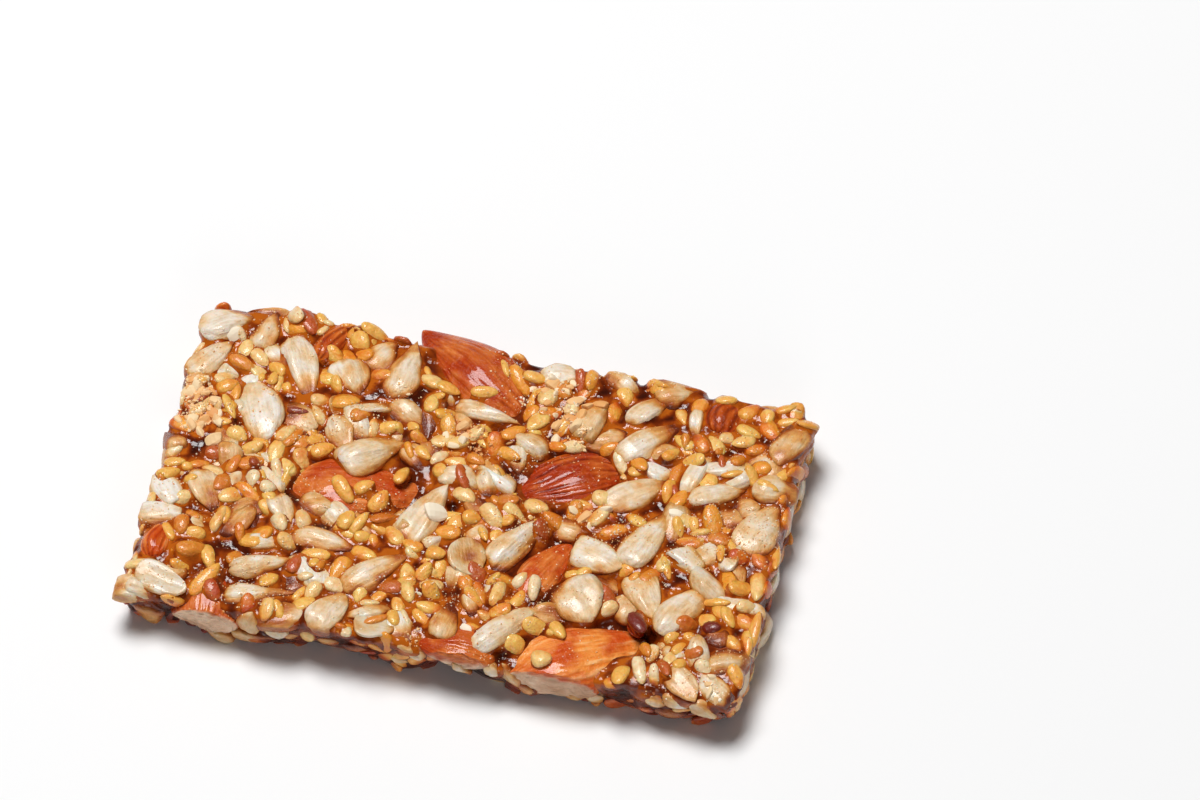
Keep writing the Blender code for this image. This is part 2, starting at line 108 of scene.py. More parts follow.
def ring_faces(around, rings):
    """Faces of a closed form of rings of points, with a foot and a crown point after them.

    Quads between rings and triangles at both ends, as rows of four corners with -1 for none.
    """
    k = np.arange(around)
    after = (k + 1) % around
    low = np.arange(rings - 1)[:, None] * around
    last = (rings - 1) * around
    none = np.full(around, -1)
    quads = np.stack([low + k, low + after, low + around + after, low + around + k], axis=-1)
    foot = np.column_stack([np.full(around, rings * around), after, k, none])
    crown = np.column_stack([np.full(around, rings * around + 1), last + k, last + after, none])
    return np.vstack([quads.reshape(-1, 4), foot, crown])


def seed_grid(around, along):
    """Parameters and faces of a closed seed: t from tip to tip, closer set there, and angle round."""
    steps = np.arange(1, along + 1) / (along + 1)
    t = np.concatenate([np.repeat((1 - np.cos(np.pi * steps)) / 2, around), [0, 1]])
    angle = np.concatenate([np.tile(2 * np.pi * np.arange(around) / around, along), [0, 0]])
    return t, angle, ring_faces(around, along)


def drawn_back(x, y, z):
    """How far the foot of the front side draws back, in mm, where layers of it broke away.

    Two sines of x with three soft notches, fading out upwards and towards the middle of the bar.
    """
    step = 0.9 + 0.35 * np.sin(x / 3.1) + 0.25 * np.sin(x / 1.3 + 1)
    notch = 1.9 * np.exp(-(((x - 2.7) / 3.4) ** 4)) + 0.8 * np.exp(-(((x + 11) / 4.5) ** 2))
    notch = notch + 1.2 * np.exp(-(((x - 36) / 3) ** 2))
    return (step + notch) * np.clip((4.8 - z) / 3.6, 0, 1) * np.clip((-y - 14) / 8, 0, 1)


def almond_points(row, number):
    """An almond: a flattened teardrop, its radius lowered in furrows that run from tip to tip.

    Furrows are a sum of cosines of the angle, each with a phase that wanders along the nut, taken
    to a power so that narrow grooves part wide ridges.
    """
    _, x, y, length, width, thickness, turn, middle, depth, _ = row
    draw = np.random.default_rng(200 + number)
    t, angle, faces = seed_grid(*ALMOND_GRID)
    girth = teardrop(t, *ALMOND_OUTLINE)
    streak = np.zeros_like(t)
    for order in FURROWS_ROUND:
        bend = draw.normal(0, 2.6) * np.sin(3.1 * t + draw.uniform(0, 6.3))
        quick = draw.normal(0, 1.6) * np.sin(13 * t + draw.uniform(0, 6.3))
        swell = 1 + 0.8 * np.sin(7 * t + draw.uniform(0, 6.3))
        streak += draw.normal() * swell * np.cos(order * angle + draw.uniform(0, 6.3) + bend + quick)
    streak /= streak.std()
    ridge = np.clip(0.6 + 0.32 * streak, 0, 1) ** 0.7
    fade = np.sin(np.pi * t) ** 0.35
    squeeze = 1 - depth * fade * (1 - ridge) * 4.4 / width
    local = np.column_stack([
        (t - 0.5) * length,
        girth * squeeze * np.cos(angle) * width / 2,
        girth * squeeze * np.sin(angle) * thickness / 2,
    ])
    local = local + 0.22 * fade[:, None] * wobble(local, 60 + 3 * number, 8, 0.03, 0.12)
    points = local @ turned(turn).T + np.array([x, y, middle])
    return points, faces, 1 - (1 - ridge) * min(depth / WRINKLES_AT_FULL_SHADE, 1.0), local


def linear(colour):
    """Linear RGBA of an sRGB hex colour."""
    parts = [int(colour[k : k + 2], 16) / 255 for k in (1, 3, 5)]
    return [p / 12.92 if p <= 0.04045 else ((p + 0.055) / 1.055) ** 2.4 for p in parts] + [1.0]


def wire(tree, node, links=None, **settings):
    """Gives a node its settings, and links or values to its inputs.

    Settings are its properties, or its inputs with _ for a space in their names.
    """
    for name, value in settings.items():
        if hasattr(node, name):
            setattr(node, name, value)
        else:
            node.inputs[name.replace("_", " ")].default_value = value
    for name, source in (links or {}).items():
        if isinstance(source, bpy.types.NodeSocket):
            tree.links.new(source, node.inputs[name])
        else:
            node.inputs[name].default_value = source


def add_node(tree, kind, links=None, out=0, **settings):
    """Adds a node with its links and settings, and returns its output socket out."""
    node = tree.nodes.new(kind)
    wire(tree, node, links, **settings)
    return node.outputs[out]


def new_material(name, *keys):
    """A node material and its shader, with a socket for each key.

    The key place is the place in the bar, and the others are attributes of the piece, of which
    local holds vectors.
    """
    made = bpy.data.materials.new(name)
    made.use_nodes = True
    tree = made.node_tree
    sockets = []
    for key in keys:
        if key == "place":
            sockets.append(add_node(tree, "ShaderNodeTexCoord", out="Object"))
        else:
            out = "Vector" if key == "local" else "Fac"
            sockets.append(add_node(tree, "ShaderNodeAttribute", out=out, attribute_name=key))
    return made, tree, tree.nodes["Principled BSDF"], *sockets


def colour_ramp(tree, source, stops):
    """A colour ramp over a value, from {position: hex colour}."""
    colour = add_node(tree, "ShaderNodeValToRGB", {"Fac": source})
    elements = colour.node.color_ramp.elements
    while len(elements) < len(stops):
        elements.new(0.5)
    for element, (position, shade) in zip(elements, stops.items()):
        element.position = position
        element.color = linear(shade)
    return colour


def mixed(tree, factor, first, second, blend="MIX"):
    """Two colours mixed by a factor; each is a socket or a hex colour."""
    first, second = (linear(c) if isinstance(c, str) else c for c in (first, second))
    links = {0: factor, 6: first, 7: second}
    return add_node(tree, "ShaderNodeMix", links, 2, data_type="RGBA", blend_type=blend)


def new_piece(name, points, faces, material, attributes=None):
    """A smooth mesh object from points in mm, with an attribute for each named array.

    Faces are rows of four corners, with -1 last for a triangle.
    """
    mesh = bpy.data.meshes.new(name)
    faces = np.asarray(faces, np.int32)
    mesh.vertices.add(len(points))
    mesh.vertices.foreach_set("co", (np.asarray(points) * MM).astype(np.float32).ravel())
    sizes = np.where(faces[:, 3] < 0, 3, 4)
    mesh.loops.add(int(sizes.sum()))
    mesh.loops.foreach_set("vertex_index", faces[faces >= 0])
    mesh.polygons.add(len(faces))
    mesh.polygons.foreach_set("loop_start", np.concatenate([[0], np.cumsum(sizes)[:-1]]).astype(np.int32))
    mesh.update(calc_edges=True)
    mesh.shade_smooth()
    for key, values in (attributes or {}).items():
        values = np.asarray(values, np.float32)
        layer = mesh.attributes.new(key, "FLOAT_VECTOR" if values.ndim > 1 else "FLOAT", "POINT")
        layer.data.foreach_set("vector" if values.ndim > 1 else "value", values.ravel())
    obj = bpy.data.objects.new(name, mesh)
    bpy.context.scene.collection.objects.link(obj)
    mesh.materials.append(material)
    return obj


def almond_skin_material():
    """Almond skin under caramel: red-brown, darker in its furrows, with a clear wet gloss."""
    material, tree, shader, place, furrow, tone, cut, local = new_material(
        "almond_skin_caramelled", "place", "furrow", "tone", "cut", "local"
    )
    # Blotches of thicker and thinner caramel, about 4 mm across.
    blotch = add_node(tree, "ShaderNodeTexNoise", {"Vector": place}, Scale=230.0, Detail=4.0)
    # Fibres of the skin run along the nut, about 0.3 mm apart; the local frame is in mm.
    slim = add_node(tree, "ShaderNodeVectorMath", {0: local, 1: (0.16, 1.7, 1.7)}, operation="MULTIPLY")
    fibre = add_node(tree, "ShaderNodeTexNoise", {"Vector": slim}, Scale=1.0, Detail=5.0)
    streak = add_node(tree, "ShaderNodeMapRange", {"Value": fibre}, From_Min=0.35, From_Max=0.68)
    both = add_node(tree, "ShaderNodeMath", {0: furrow, 1: streak}, operation="MULTIPLY")
    twice = add_node(tree, "ShaderNodeMath", {0: both, 1: furrow}, operation="ADD")
    level = add_node(tree, "ShaderNodeMath", {0: twice, 1: 0.5}, operation="MULTIPLY")
    dark = colour_ramp(tree, level, {0.1: "#5A0E00", 0.4: "#9E2A00", 0.75: "#C24600", 1.0: "#D8640C"})
    # The palest stops colour the front almond, and there they partly paint a broad highlight.
    light = colour_ramp(tree, level, {0.1: "#B4480C", 0.4: "#EA7C28", 0.75: "#F89C4A", 1.0: "#FFC080"})
    skin = mixed(tree, tone, dark, light)
    amber = mixed(tree, 0.8, skin, "#D06820", "MULTIPLY")
    spread = add_node(tree, "ShaderNodeMapRange", {"Value": blotch}, From_Min=0.4, From_Max=0.6)
    skin = mixed(tree, spread, amber, skin)
    meat = colour_ramp(tree, blotch, {0.35: "#CC9E7C", 0.5: "#EAC2A0", 0.65: "#F6DCC0"})
    rough = add_node(tree, "ShaderNodeMapRange", {"Value": blotch}, To_Min=0.08, To_Max=0.3)
    grain = add_node(tree, "ShaderNodeTexNoise", {"Vector": place}, Scale=1300.0, Detail=4.0)
    relief = add_node(tree, "ShaderNodeMath", {0: grain, 1: fibre}, operation="ADD")
    bump = add_node(tree, "ShaderNodeBump", {"Height": relief}, Strength=0.6, Distance=0.0006)
    links = {"Base Color": mixed(tree, cut, skin, meat), "Roughness": rough, "Normal": bump}
    wire(tree, shader, links, Specular_IOR_Level=0.12, Coat_Weight=0.45, Coat_Roughness=0.06,
         Subsurface_Weight=0.1, Subsurface_Scale=0.0008)
    return material


almond_skin = almond_skin_material()
for number, row in enumerate(ALMONDS):
    name = row[0]
    points, faces, ridge, local = almond_points(row, number)
    cut = np.zeros(len(points))
    if name in CUT_AT_FRONT:
        rim = GLAZE_RIM + 0.4 * ripple(points, 6, 8, 0.1, 0.6)
        cut = (points[:, 1] < FRONT_CUT + 0.02) * np.clip((rim - points[:, 2]) / 0.9, 0, 1)
        points[:, 1] = np.maximum(points[:, 1], FRONT_CUT + 0.1 * ripple(points, 5, 8, 0.1, 0.9))
        points[:, 1] += drawn_back(*points.T)
    tone = np.full(len(points), row[-1])
    values = {"furrow": ridge, "tone": tone, "cut": cut, "local": local + 40 * number}
    piece = new_piece(name + "_nut", points, faces, almond_skin, values)
    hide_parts(name)
    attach(piece, "root")


# Almond chips. Chopped bits of almond in their skins, too small to be pieces of their own in
# the solid; they are angular, dark red-brown and glossy.
# x, y, length, width, turn, tone.
CHIPS = (
    (-23.1, 20.4, 7.0, 3.8, 70, 0.5),
    (28.4, 20.4, 5.6, 5.0, 80, 0.2),
    (-37.3, -15.1, 5.6, 3.6, 85, 1.0),
    (24.9, -14.2, 2.8, 2.2, -50, 0.0),
)
CHIP_DEPTH = 3.2
CHIP_OUT = 0.25
CHIP_GRID = (48, 30)


def side_wave(along, phase):
    """How far a cut side bulges, in mm: a slow sine with a quicker one on it."""
    slow = 0.42 * np.sin(2 * np.pi * along / 31 + phase)
    return slow + 0.26 * np.sin(2 * np.pi * along / 12.5 + 2.3 * phase)


def pressed(points, lowest=0.03):
    """Flattens what would stand below the underside or out of a cut side; also says where."""
    x, y, z = points.T
    high_x = LENGTH / 2 + 0.55 + side_wave(y, 2.2) * 0.5
    low_x = -LENGTH / 2 - 0.5 - side_wave(-y, 3.3) * 0.5
    high_y = WIDTH / 2 + 0.5 + side_wave(-x, 1.1) * 0.5
    low_y = -WIDTH / 2 - 0.35 - side_wave(x, 0.0) * 0.5
    cut = (x > high_x) | (x < low_x) | (y > high_y) | (y < low_y)
    kept_y = np.clip(y, low_y, high_y) + drawn_back(x, y, z)
    kept = np.column_stack([np.clip(x, low_x, high_x), kept_y, np.maximum(z, lowest)])
    return kept, cut.astype(float)


class Heap:
    """Collects seeds of one kind into one mesh, with a value for each point of each attribute."""

    def __init__(self):
        self.points, self.faces, self.values, self.count = [], [], {}, 0

    def add(self, points, faces, **values):
        self.points.append(points)
        self.faces.append(np.where(faces < 0, -1, faces + self.count))
        self.count += len(points)
        for key, value in values.items():
            shape = np.shape(value) if np.ndim(value) > 1 else (len(points),)
            self.values.setdefault(key, []).append(np.broadcast_to(value, shape))

    def piece(self, name, material):
        values = {key: np.concatenate(parts) for key, parts in self.values.items()}
        return new_piece(name, np.vstack(self.points), np.vstack(self.faces), material, values)


chips = Heap()
laid_chips = []
for number, (x, y, length, width, turn, tone) in enumerate(CHIPS):
    size = np.array([length, width, CHIP_DEPTH])
    centre = np.array([x, y, THICKNESS + CHIP_OUT - CHIP_DEPTH / 2])
    axes = turned(turn, 4, 6)
    laid_chips.append((centre, axes, size))
    t, angle, faces = seed_grid(*CHIP_GRID)
    girth = teardrop(t, 0.4, 0.1)
    streak = np.clip(0.6 + 0.35 * np.cos(11 * angle + 3 * np.sin(4 * t) + number), 0, 1)
    unit = np.column_stack([t - 0.5, girth * np.cos(angle) / 2, girth * np.sin(angle) / 2])
    unit *= (1 - 0.03 * (1 - streak))[:, None]
    unit += 0.03 * wobble(unit, 900 + 5 * number, 8, 0.5, 1.6)
    points, cut = pressed((unit * size) @ axes.T + centre)
    local = unit * size + 30 * number
    chips.add(points, faces, furrow=streak, tone=tone, cut=cut, local=local)
chip_piece = chips.piece("almond_chips", almond_skin)
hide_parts("bar")
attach(chip_piece, "root")


# Sunflower kernels. Hulled seeds, flat teardrops with one sharp tip, fine lines along them and
# a dry satin surface; caramel wicks up their lower edges and stains them amber, and painted shade
# darkens their lower flanks as well. The ones on the top face lie where the bar shows them, and
# those in the sides are cut by the knife.
# x, y, length, width, turn in degrees, how far it is sunk, how much caramel coats it, and form
# where the kernel isn't whole.
KERNELS = (
    (-36.4, 23, 9.2, 5.4, 35, 0, .1), (-31.6, 23.1, 7, 3.6, 82, .2, .4), (-37.8, 15, 8.8, 4.4, 57, 0, .1),
    (-25.6, 14.7, 11.6, 4.5, -62, 0, .2), (-29.8, 16.9, 4.2, 3.5, -30, .6, .1),
    (-29.4, 8, 10.4, 5.6, 112, -.2, 0, "egg"), (-19, 15.6, 6.6, 5.2, -60, 0, .1),
    (-16.2, 20.2, 6.6, 4.2, 60, .5, .1), (-12.9, 18.2, 9.8, 4.9, 86, -.2, .1),
    (-14.8, 11.8, 8.6, 3, 22, .2, .3), (-8, 12, 7.6, 4.2, -84, .5, .9), (-6.6, 15.2, 5.8, 3, -62, .7, .3),
    (-13.8, 4.4, 9.2, 5.2, 38, -.5, .3), (-18.5, 6.3, 7.2, 3.6, -65, .3, .4),
    (-20.1, 10.6, 3.2, 2.4, -80, .4, .1, "split"), (-22.6, -7.4, 6.8, 3.6, -62, .2, .2),
    (-33.2, -6, 7.4, 4.2, -58, 0, .5), (-38.5, -6.7, 5.2, 4.4, -50, .3, 0, "broken"),
    (-38, -10.7, 5.6, 3.8, 10, .4, .1, "broken"), (-26.3, -8.9, 5, 3.6, -50, .8, .7),
    (-16.4, -10.4, 9.4, 3.5, -5, .1, .3), (-23.4, -12.3, 6.2, 2.6, 12, .3, .1),
    (-23.6, -15.6, 8.2, 3.6, 26, .1, .3), (-22.6, -20, 9.6, 3.5, 15, .1, .2),
    (-35.1, -21, 7.4, 3.8, -18, 0, .2, "cup"), (-13.5, -20.9, 7.8, 4.7, 74, -.1, .2),
    (-8.8, -13.3, 10.2, 4.5, 45, -.2, .2), (-4.9, -3.4, 10.8, 4.9, 72, -.1, 0),
    (-2.8, -7.1, 4.4, 2.7, 50, .4, .1), (1.8, -8.9, 5.8, 5, -70, .1, .6, "cup"),
    (7.4, -5.6, 11.2, 4, 62, 0, .2, "curved"), (9.2, -18.4, 11.2, 4, 51, -.2, .1),
    (1.6, -18.4, 7.2, 4, 82, 0, .4), (3.9, -16.4, 5.8, 2.6, -62, .2, .3),
    (1.5, 2.8, 6.4, 2.7, -68, .3, .3), (-.9, 13.9, 9.6, 2.9, -8, -.2, .2),
    (5.8, 10.6, 4.8, 3.6, -25, .3, .3, "broken"), (6.7, 22, 4.2, 3.5, 10, .1, 0, "broken"),
    (12.2, 15.8, 7.8, 4.4, 78, -.3, .5, "broken"), (19.4, 19.4, 8.2, 3.9, 55, .1, .2),
    (20.2, 14.2, 9.8, 4.7, 48, -.1, .2), (25.4, 17.9, 6, 2.5, -78, .2, 0),
    (27.3, 11.7, 10.2, 3.2, 77, .1, .3), (30.5, 8, 8.4, 3.7, 30, 0, .3), (20.3, 6, 9.4, 5, 40, 0, .3),
    (36.9, 4.1, 10.2, 5.5, 72, 0, .3), (23.1, -.6, 11.2, 5.1, 72, -.2, .1),
    (17.6, -5.2, 6.6, 4.9, -20, 0, .2, "broken"), (28.8, -2.8, 5.6, 4, -35, .1, .2, "broken"),
    (25, -9.7, 8.6, 4.6, -57, 0, .3), (30.2, -9.8, 10.8, 5.2, 65, -.1, .1),
    (16.9, -12.4, 7.4, 5.6, -45, -.2, .2, "egg"), (19.8, -8.8, 6, 3.5, -5, .9, .6),
    (37.6, 18.4, 7.4, 4.6, 70, 0, .7, "broken"), (37.4, -17.2, 5.2, 4.2, 20, .2, .6, "broken"),
    (32.6, -21.4, 5.4, 3.8, -40, .2, .5, "broken"), (36.9, -21.8, 5.2, 3.6, -30, .3, .4, "broken"),
    (-7.1, -22.2, 5.4, 3.6, 5, .1, .2, "split"),
)
KERNEL_KINDS = [row[7] if row[7:] else "whole" for row in KERNELS]
# x, height, length, width and turn of the kernels that the knife laid bare in the front side.
FRONT_KERNELS = (
    (-37, 6.2, 5.2, 3.2, -10), (-36.9, 2.9, 5.6, 3, -18), (-23, 6, 3.8, 3.2, 80),
    (-20, 5.4, 4.4, 2.8, -35), (-22.5, 2.3, 5.8, 2.6, -5), (-27.6, 1.3, 5.6, 2.2, -12),
    (-17.1, 3.5, 4.2, 2.6, 10), (-13.6, 3.4, 4.6, 3, -20), (-9, 3, 5.2, 2.4, 8), (-2.4, 5.6, 5, 2.6, -25),
    (-3.4, 3.2, 4.4, 2.4, -15), (4.3, 4.2, 4.4, 2, -60), (8.9, 4.2, 4.8, 1.9, -65),
    (10.9, 4.4, 5, 2.1, -60), (13.2, 2.4, 3.8, 2, -25), (18, 1.9, 4.2, 2, -10),
    (22.6, 1.8, 4.8, 2.2, -12), (28.8, 4.9, 4.8, 2.8, -10), (32.6, 5.6, 4.6, 2.2, -5),
    (30.7, 2.5, 5.8, 2, -8), (36.4, 4.9, 5.4, 2.2, -38),
)
KERNEL_DEPTH = 2.7
EDGE_ON_DEPTH = 4.0
EDGE_ON_WIDTH = 3.4
KERNEL_TOP = THICKNESS + 0.15
# The upright sides, front, back, right and left: middle, way along, way out, and length.
SIDES = (
    ((0, -WIDTH / 2), (1, 0), (0, -1), LENGTH),
    ((0, WIDTH / 2), (-1, 0), (0, 1), LENGTH),
    ((LENGTH / 2, 0), (0, 1), (1, 0), WIDTH),
    ((-LENGTH / 2, 0), (0, -1), (-1, 0), WIDTH),
)
SIDE_KERNELS_PER_MM = 0.11
SIDE_MIDDLE = 3.8
SIDE_KERNEL_OUT = 0.25
# How far a seed may stick out over the edge of the top face.
EDGE_OVERHANG = 0.3
# Points round and along a kernel: on top, in the sides and buried, in the underside.
TOP_GRID = (30, 22)
SIDE_GRID = (20, 14)
UNDER_GRID = (18, 12)


def kept_inside(x, y, length, width, turn):
    """The place of a seed, moved in as far as its plan would stick out of the bar's edges."""
    way = math.radians(turn)
    reach_x = math.hypot(length / 2 * math.cos(way), width / 2 * math.sin(way))
    reach_y = math.hypot(length / 2 * math.sin(way), width / 2 * math.cos(way))
    limit_x = LENGTH / 2 + EDGE_OVERHANG - reach_x
    limit_y = WIDTH / 2 + EDGE_OVERHANG - reach_y
    return min(max(x, -limit_x), limit_x), min(max(y, -limit_y), limit_y)


def kernel_place(row):
    """Centre, axes and full size of a kernel on the top face, as the solid has it."""
    x, y, length, width, turn, sunk = row[:6]
    x, y = kept_inside(x, y, length, width, turn)
    depth = EDGE_ON_DEPTH if width < EDGE_ON_WIDTH else KERNEL_DEPTH
    depth *= min(1.0, 0.55 + length / 18)
    axes = turned(turn, 6 * math.sin(1.7 * x), 9 * math.sin(2.3 * y))
    return np.array([x, y, KERNEL_TOP - sunk - depth / 2]), axes, np.array([length, width, depth])


# Outline powers at the blunt and the sharp end, bend, height of a plane that takes the top off,
# depth of a hollow in that plane, and how far from the middle the ends are snapped off.
KERNEL_FORMS = {
    "whole": (0.44, 1.0, 0.0, None, 0.0, None),
    "egg": (0.5, 0.62, 0.0, None, 0.0, None),
    "curved": (0.5, 0.7, 0.2, None, 0.0, None),
    "split": (0.42, 0.7, 0.05, 0.14, 0.06, None),
    "cup": (0.45, 0.5, 0.0, 0.16, 0.13, None),
    "broken": (0.4, 0.6, 0.0, None, 0.0, 0.33),
}


def kernel_outline(t, blunt, sharp):
    """Half-width along a kernel: t to one power times 1 - t to another, 1 at its widest."""
    widest = blunt / (blunt + sharp)
    return t**blunt * (1 - t) ** sharp / (widest**blunt * (1 - widest) ** sharp)


def faceted(angle, t, draw, count, power):
    """Radius of a rounded polygon: a power mean of cosines from its face directions, which twist."""
    total = np.zeros_like(t)
    for k in range(count):
        face = 2 * np.pi * (k + draw.uniform(-0.28, 0.28)) / count + draw.normal(0, 0.5) * (t - 0.5)
        total += np.maximum(np.cos(angle - face), 0) ** power
    return total ** (-1 / power) / 1.05


def kernel_form(form, seed, grid):
    """A kernel of unit size: a lens with one blunt and one sharp end and uneven, faceted flanks.

    A plane may take its top off, as where its two halves came apart, and planes across it may
    snap its ends off.
    """
    t, angle, faces = seed_grid(*grid)
    draw = np.random.default_rng(seed)
    blunt, sharp, bend, plane, hollow, snapped = KERNEL_FORMS[form]
    blunt, sharp = blunt * draw.uniform(0.9, 1.15), sharp * draw.uniform(0.85, 1.15)
    girth = kernel_outline(t, blunt, sharp)
    lines = sum(draw.normal() * np.cos(n * angle + draw.uniform(0, 6.3) + 2 * t) for n in (7, 9, 11))
    girth = girth * faceted(angle, t, draw, 5 + seed % 3, 13) * (1 + 0.01 * lines)
    x = t - 0.5
    y = girth * np.sign(np.cos(angle)) * np.abs(np.cos(angle)) ** 0.9 / 2
    z = girth * np.sign(np.sin(angle)) * np.abs(np.sin(angle)) ** 0.8 / 2
    y = y + (bend + draw.uniform(-0.05, 0.05)) * (1 - 4 * x**2)
    z = z + draw.uniform(-0.04, 0.04) * np.sin(2 * np.pi * t)
    points = np.column_stack([x, y, z])
    flat = np.zeros(len(points))
    if plane is not None:
        level = plane + 0.02 * np.cos(9 * x) - hollow * np.exp(-((y / 0.22) ** 2) - (x / 0.3) ** 2)
        flat = (z > level).astype(float)
        points[:, 2] = np.minimum(z, level)
    if snapped is not None:
        for way in (draw.uniform(-0.5, 0.5), np.pi + draw.uniform(-0.5, 0.5)):
            side = np.array([math.cos(way), math.sin(way), draw.uniform(-0.3, 0.3)])
            over = np.maximum(points @ side - snapped * draw.uniform(0.85, 1.1), 0)
            flat = np.maximum(flat, (over > 0).astype(float))
            points = points - over[:, None] * side * 0.72
        points[:, 0] *= 1.3
    points += 0.023 * wobble(points, seed, 8, 0.5, 1.5)
    points += 0.009 * wobble(points, seed + 9, 12, 2.0, 5.0)
    return points, faces, flat


def placed_kernel(form, seed, grid, centre, axes, size):
    """Points, faces, cut share and own coordinates (in mm, offset by seed) of a kernel in place."""
    unit, faces, flat = kernel_form(form, seed, grid)
    lift = 0.3 * size[2] if form in ("split", "cup") else 0.0
    points, cut = pressed((unit * size) @ axes.T + centre + np.array([0, 0, lift]))
    return points, faces, np.maximum(cut, flat), unit * size + 17.0 * (seed % 61)


def side_rows(index, length):
    """Kernels of one upright side: spread evenly, but on the front side taken from their table."""
    if index == 0:
        return FRONT_KERNELS
    count = round(SIDE_KERNELS_PER_MM * length)
    rows = []
    for k in range(count):
        u = ((k + 0.5) / count - 0.5) * (length - 7)
        height = SIDE_MIDDLE + 1.5 * math.sin(2.4 * k + index)
        long = 8.0 + 1.3 * math.sin(1.9 * k + index)
        rows.append((u, height, long, 3.9, 18 * math.sin(3.1 * k + index)))
    return rows


def side_kernels(index):
    """Centre, axes and size of each kernel of one upright side, in that side's own axes."""
    placed = []
    for k, (u, height, long, wide, turn) in enumerate(side_rows(index, SIDES[index][3])):
        size = np.array([long, wide, min(KERNEL_DEPTH, wide)])
        axes = turned(turn + 180 * (k % 2), 8 * math.sin(1.7 * k), 14 * math.sin(2.3 * k))
        wave = float(side_wave(np.array(u), 1.1 * index))
        sunk = SIDE_KERNEL_OUT - size[2] / 2 + 0.2 * math.sin(2.9 * k)
        placed.append((np.array([u, height - SIDE_MIDDLE, wave + sunk]), axes, size))
    return placed


def from_side(index, placed):
    """Moves seeds from a side's own axes to the bar's."""
    middle, along, out, _ = SIDES[index]
    turn = np.array([(*along, 0), (0, 0, 1), (*out, 0)], float).T
    origin = np.array([*middle, SIDE_MIDDLE])
    return [(origin + turn @ centre, turn @ axes, size) for centre, axes, size in placed]


# Places where the caramel lies deep between the seeds: x, y, how much deeper, radius.
GAPS = (
    (21.8, -7.6, 3, 1.5), (24.9, -15.6, 2.6, 1.8), (15, 13.3, 2.4, 1.5), (16.4, 17.8, 2.2, 1.3),
    (-30.2, -1, 2.2, 2.2), (-21.3, 7, 2, 1.6), (-26.5, 4.5, 1.6, 2), (.5, 9, 1.8, 1.8),
    (3, 4.6, 1.6, 1.4), (-9.6, 8.6, 1.2, 2), (-33, 17.5, 1.4, 1.5), (-31.5, 13, 1.6, 1.6),
    (-1.2, -12.6, 1.4, 1.6), (13.8, -16.4, 1.4, 1.4), (34, -8, 1.2, 1.6), (27.5, 4, 1.4, 1.6),
    (-21.8, -1.6, 1, 2.6), (-9, 1, .8, 2),
)


def film_level(x, y):
    """Height of the caramel between the seeds: a low swell, a finer ripple and the deep gaps."""
    flat = np.column_stack([x, y, np.zeros(len(x))])
    level = 6.92 + 0.36 * ripple(flat, 21, 14, 0.035, 0.11) + 0.2 * ripple(flat, 22, 14, 0.14, 0.4)
    for gap_x, gap_y, deeper, radius in GAPS:
        level = level - deeper * np.exp(-((x - gap_x) ** 2 + (y - gap_y) ** 2) / radius**2)
    for _, nut_x, nut_y, length, width, _, turn, *_ in ALMONDS:
        way = math.radians(turn)
        u = ((x - nut_x) * math.cos(way) + (y - nut_y) * math.sin(way)) / (0.5 * length + 1)
        v = ((y - nut_y) * math.cos(way) - (x - nut_x) * math.sin(way)) / (0.5 * width + 1)
        level = level - 0.7 * np.exp(-((u**2 + v**2) ** 2))
    return np.minimum(level, 7.3)


def stain_at(points, amount=0.0, reach=0.7):
    """Caramel carried by a point of a seed: 1 below the film, 0 beyond its reach or at a cut side."""
    x, y, z = points.T
    top = (film_level(x, y) + reach - z) / (reach + 0.5)
    end = LENGTH / 2 + np.where(x > 0, side_wave(y, 2.2), side_wave(-y, 3.3)) - np.abs(x)
    side = WIDTH / 2 + np.where(y > 0, side_wave(-x, 1.1), side_wave(x, 0.0)) - np.abs(y)
    edge = np.minimum(end, side)
    glaze = np.clip(ripple(np.column_stack([x, y, 0 * x]), 23, 14, 0.04, 0.16), 0, 1)
    stain = np.clip(np.minimum(np.minimum(top, (edge + 0.25) / 1.8), (z + 0.5) / 1.6), 0, 1)
    return stain + 0.14 * glaze + amount


def stained(tree, bare, coat, patch, lowest, highest, stops):
    """A seed's bare colour times the caramel's, which climbs it unevenly; also how stained it is."""
    uneven = add_node(tree, "ShaderNodeMapRange", {"Value": patch}, From_Min=0.3, From_Max=0.7,
                      To_Min=lowest, To_Max=highest)
    edge = add_node(tree, "ShaderNodeMath", {0: coat, 1: uneven}, operation="ADD")
    stain = add_node(tree, "ShaderNodeClamp", {"Value": edge})
    return mixed(tree, 1.0, bare, colour_ramp(tree, stain, stops), "MULTIPLY"), stain


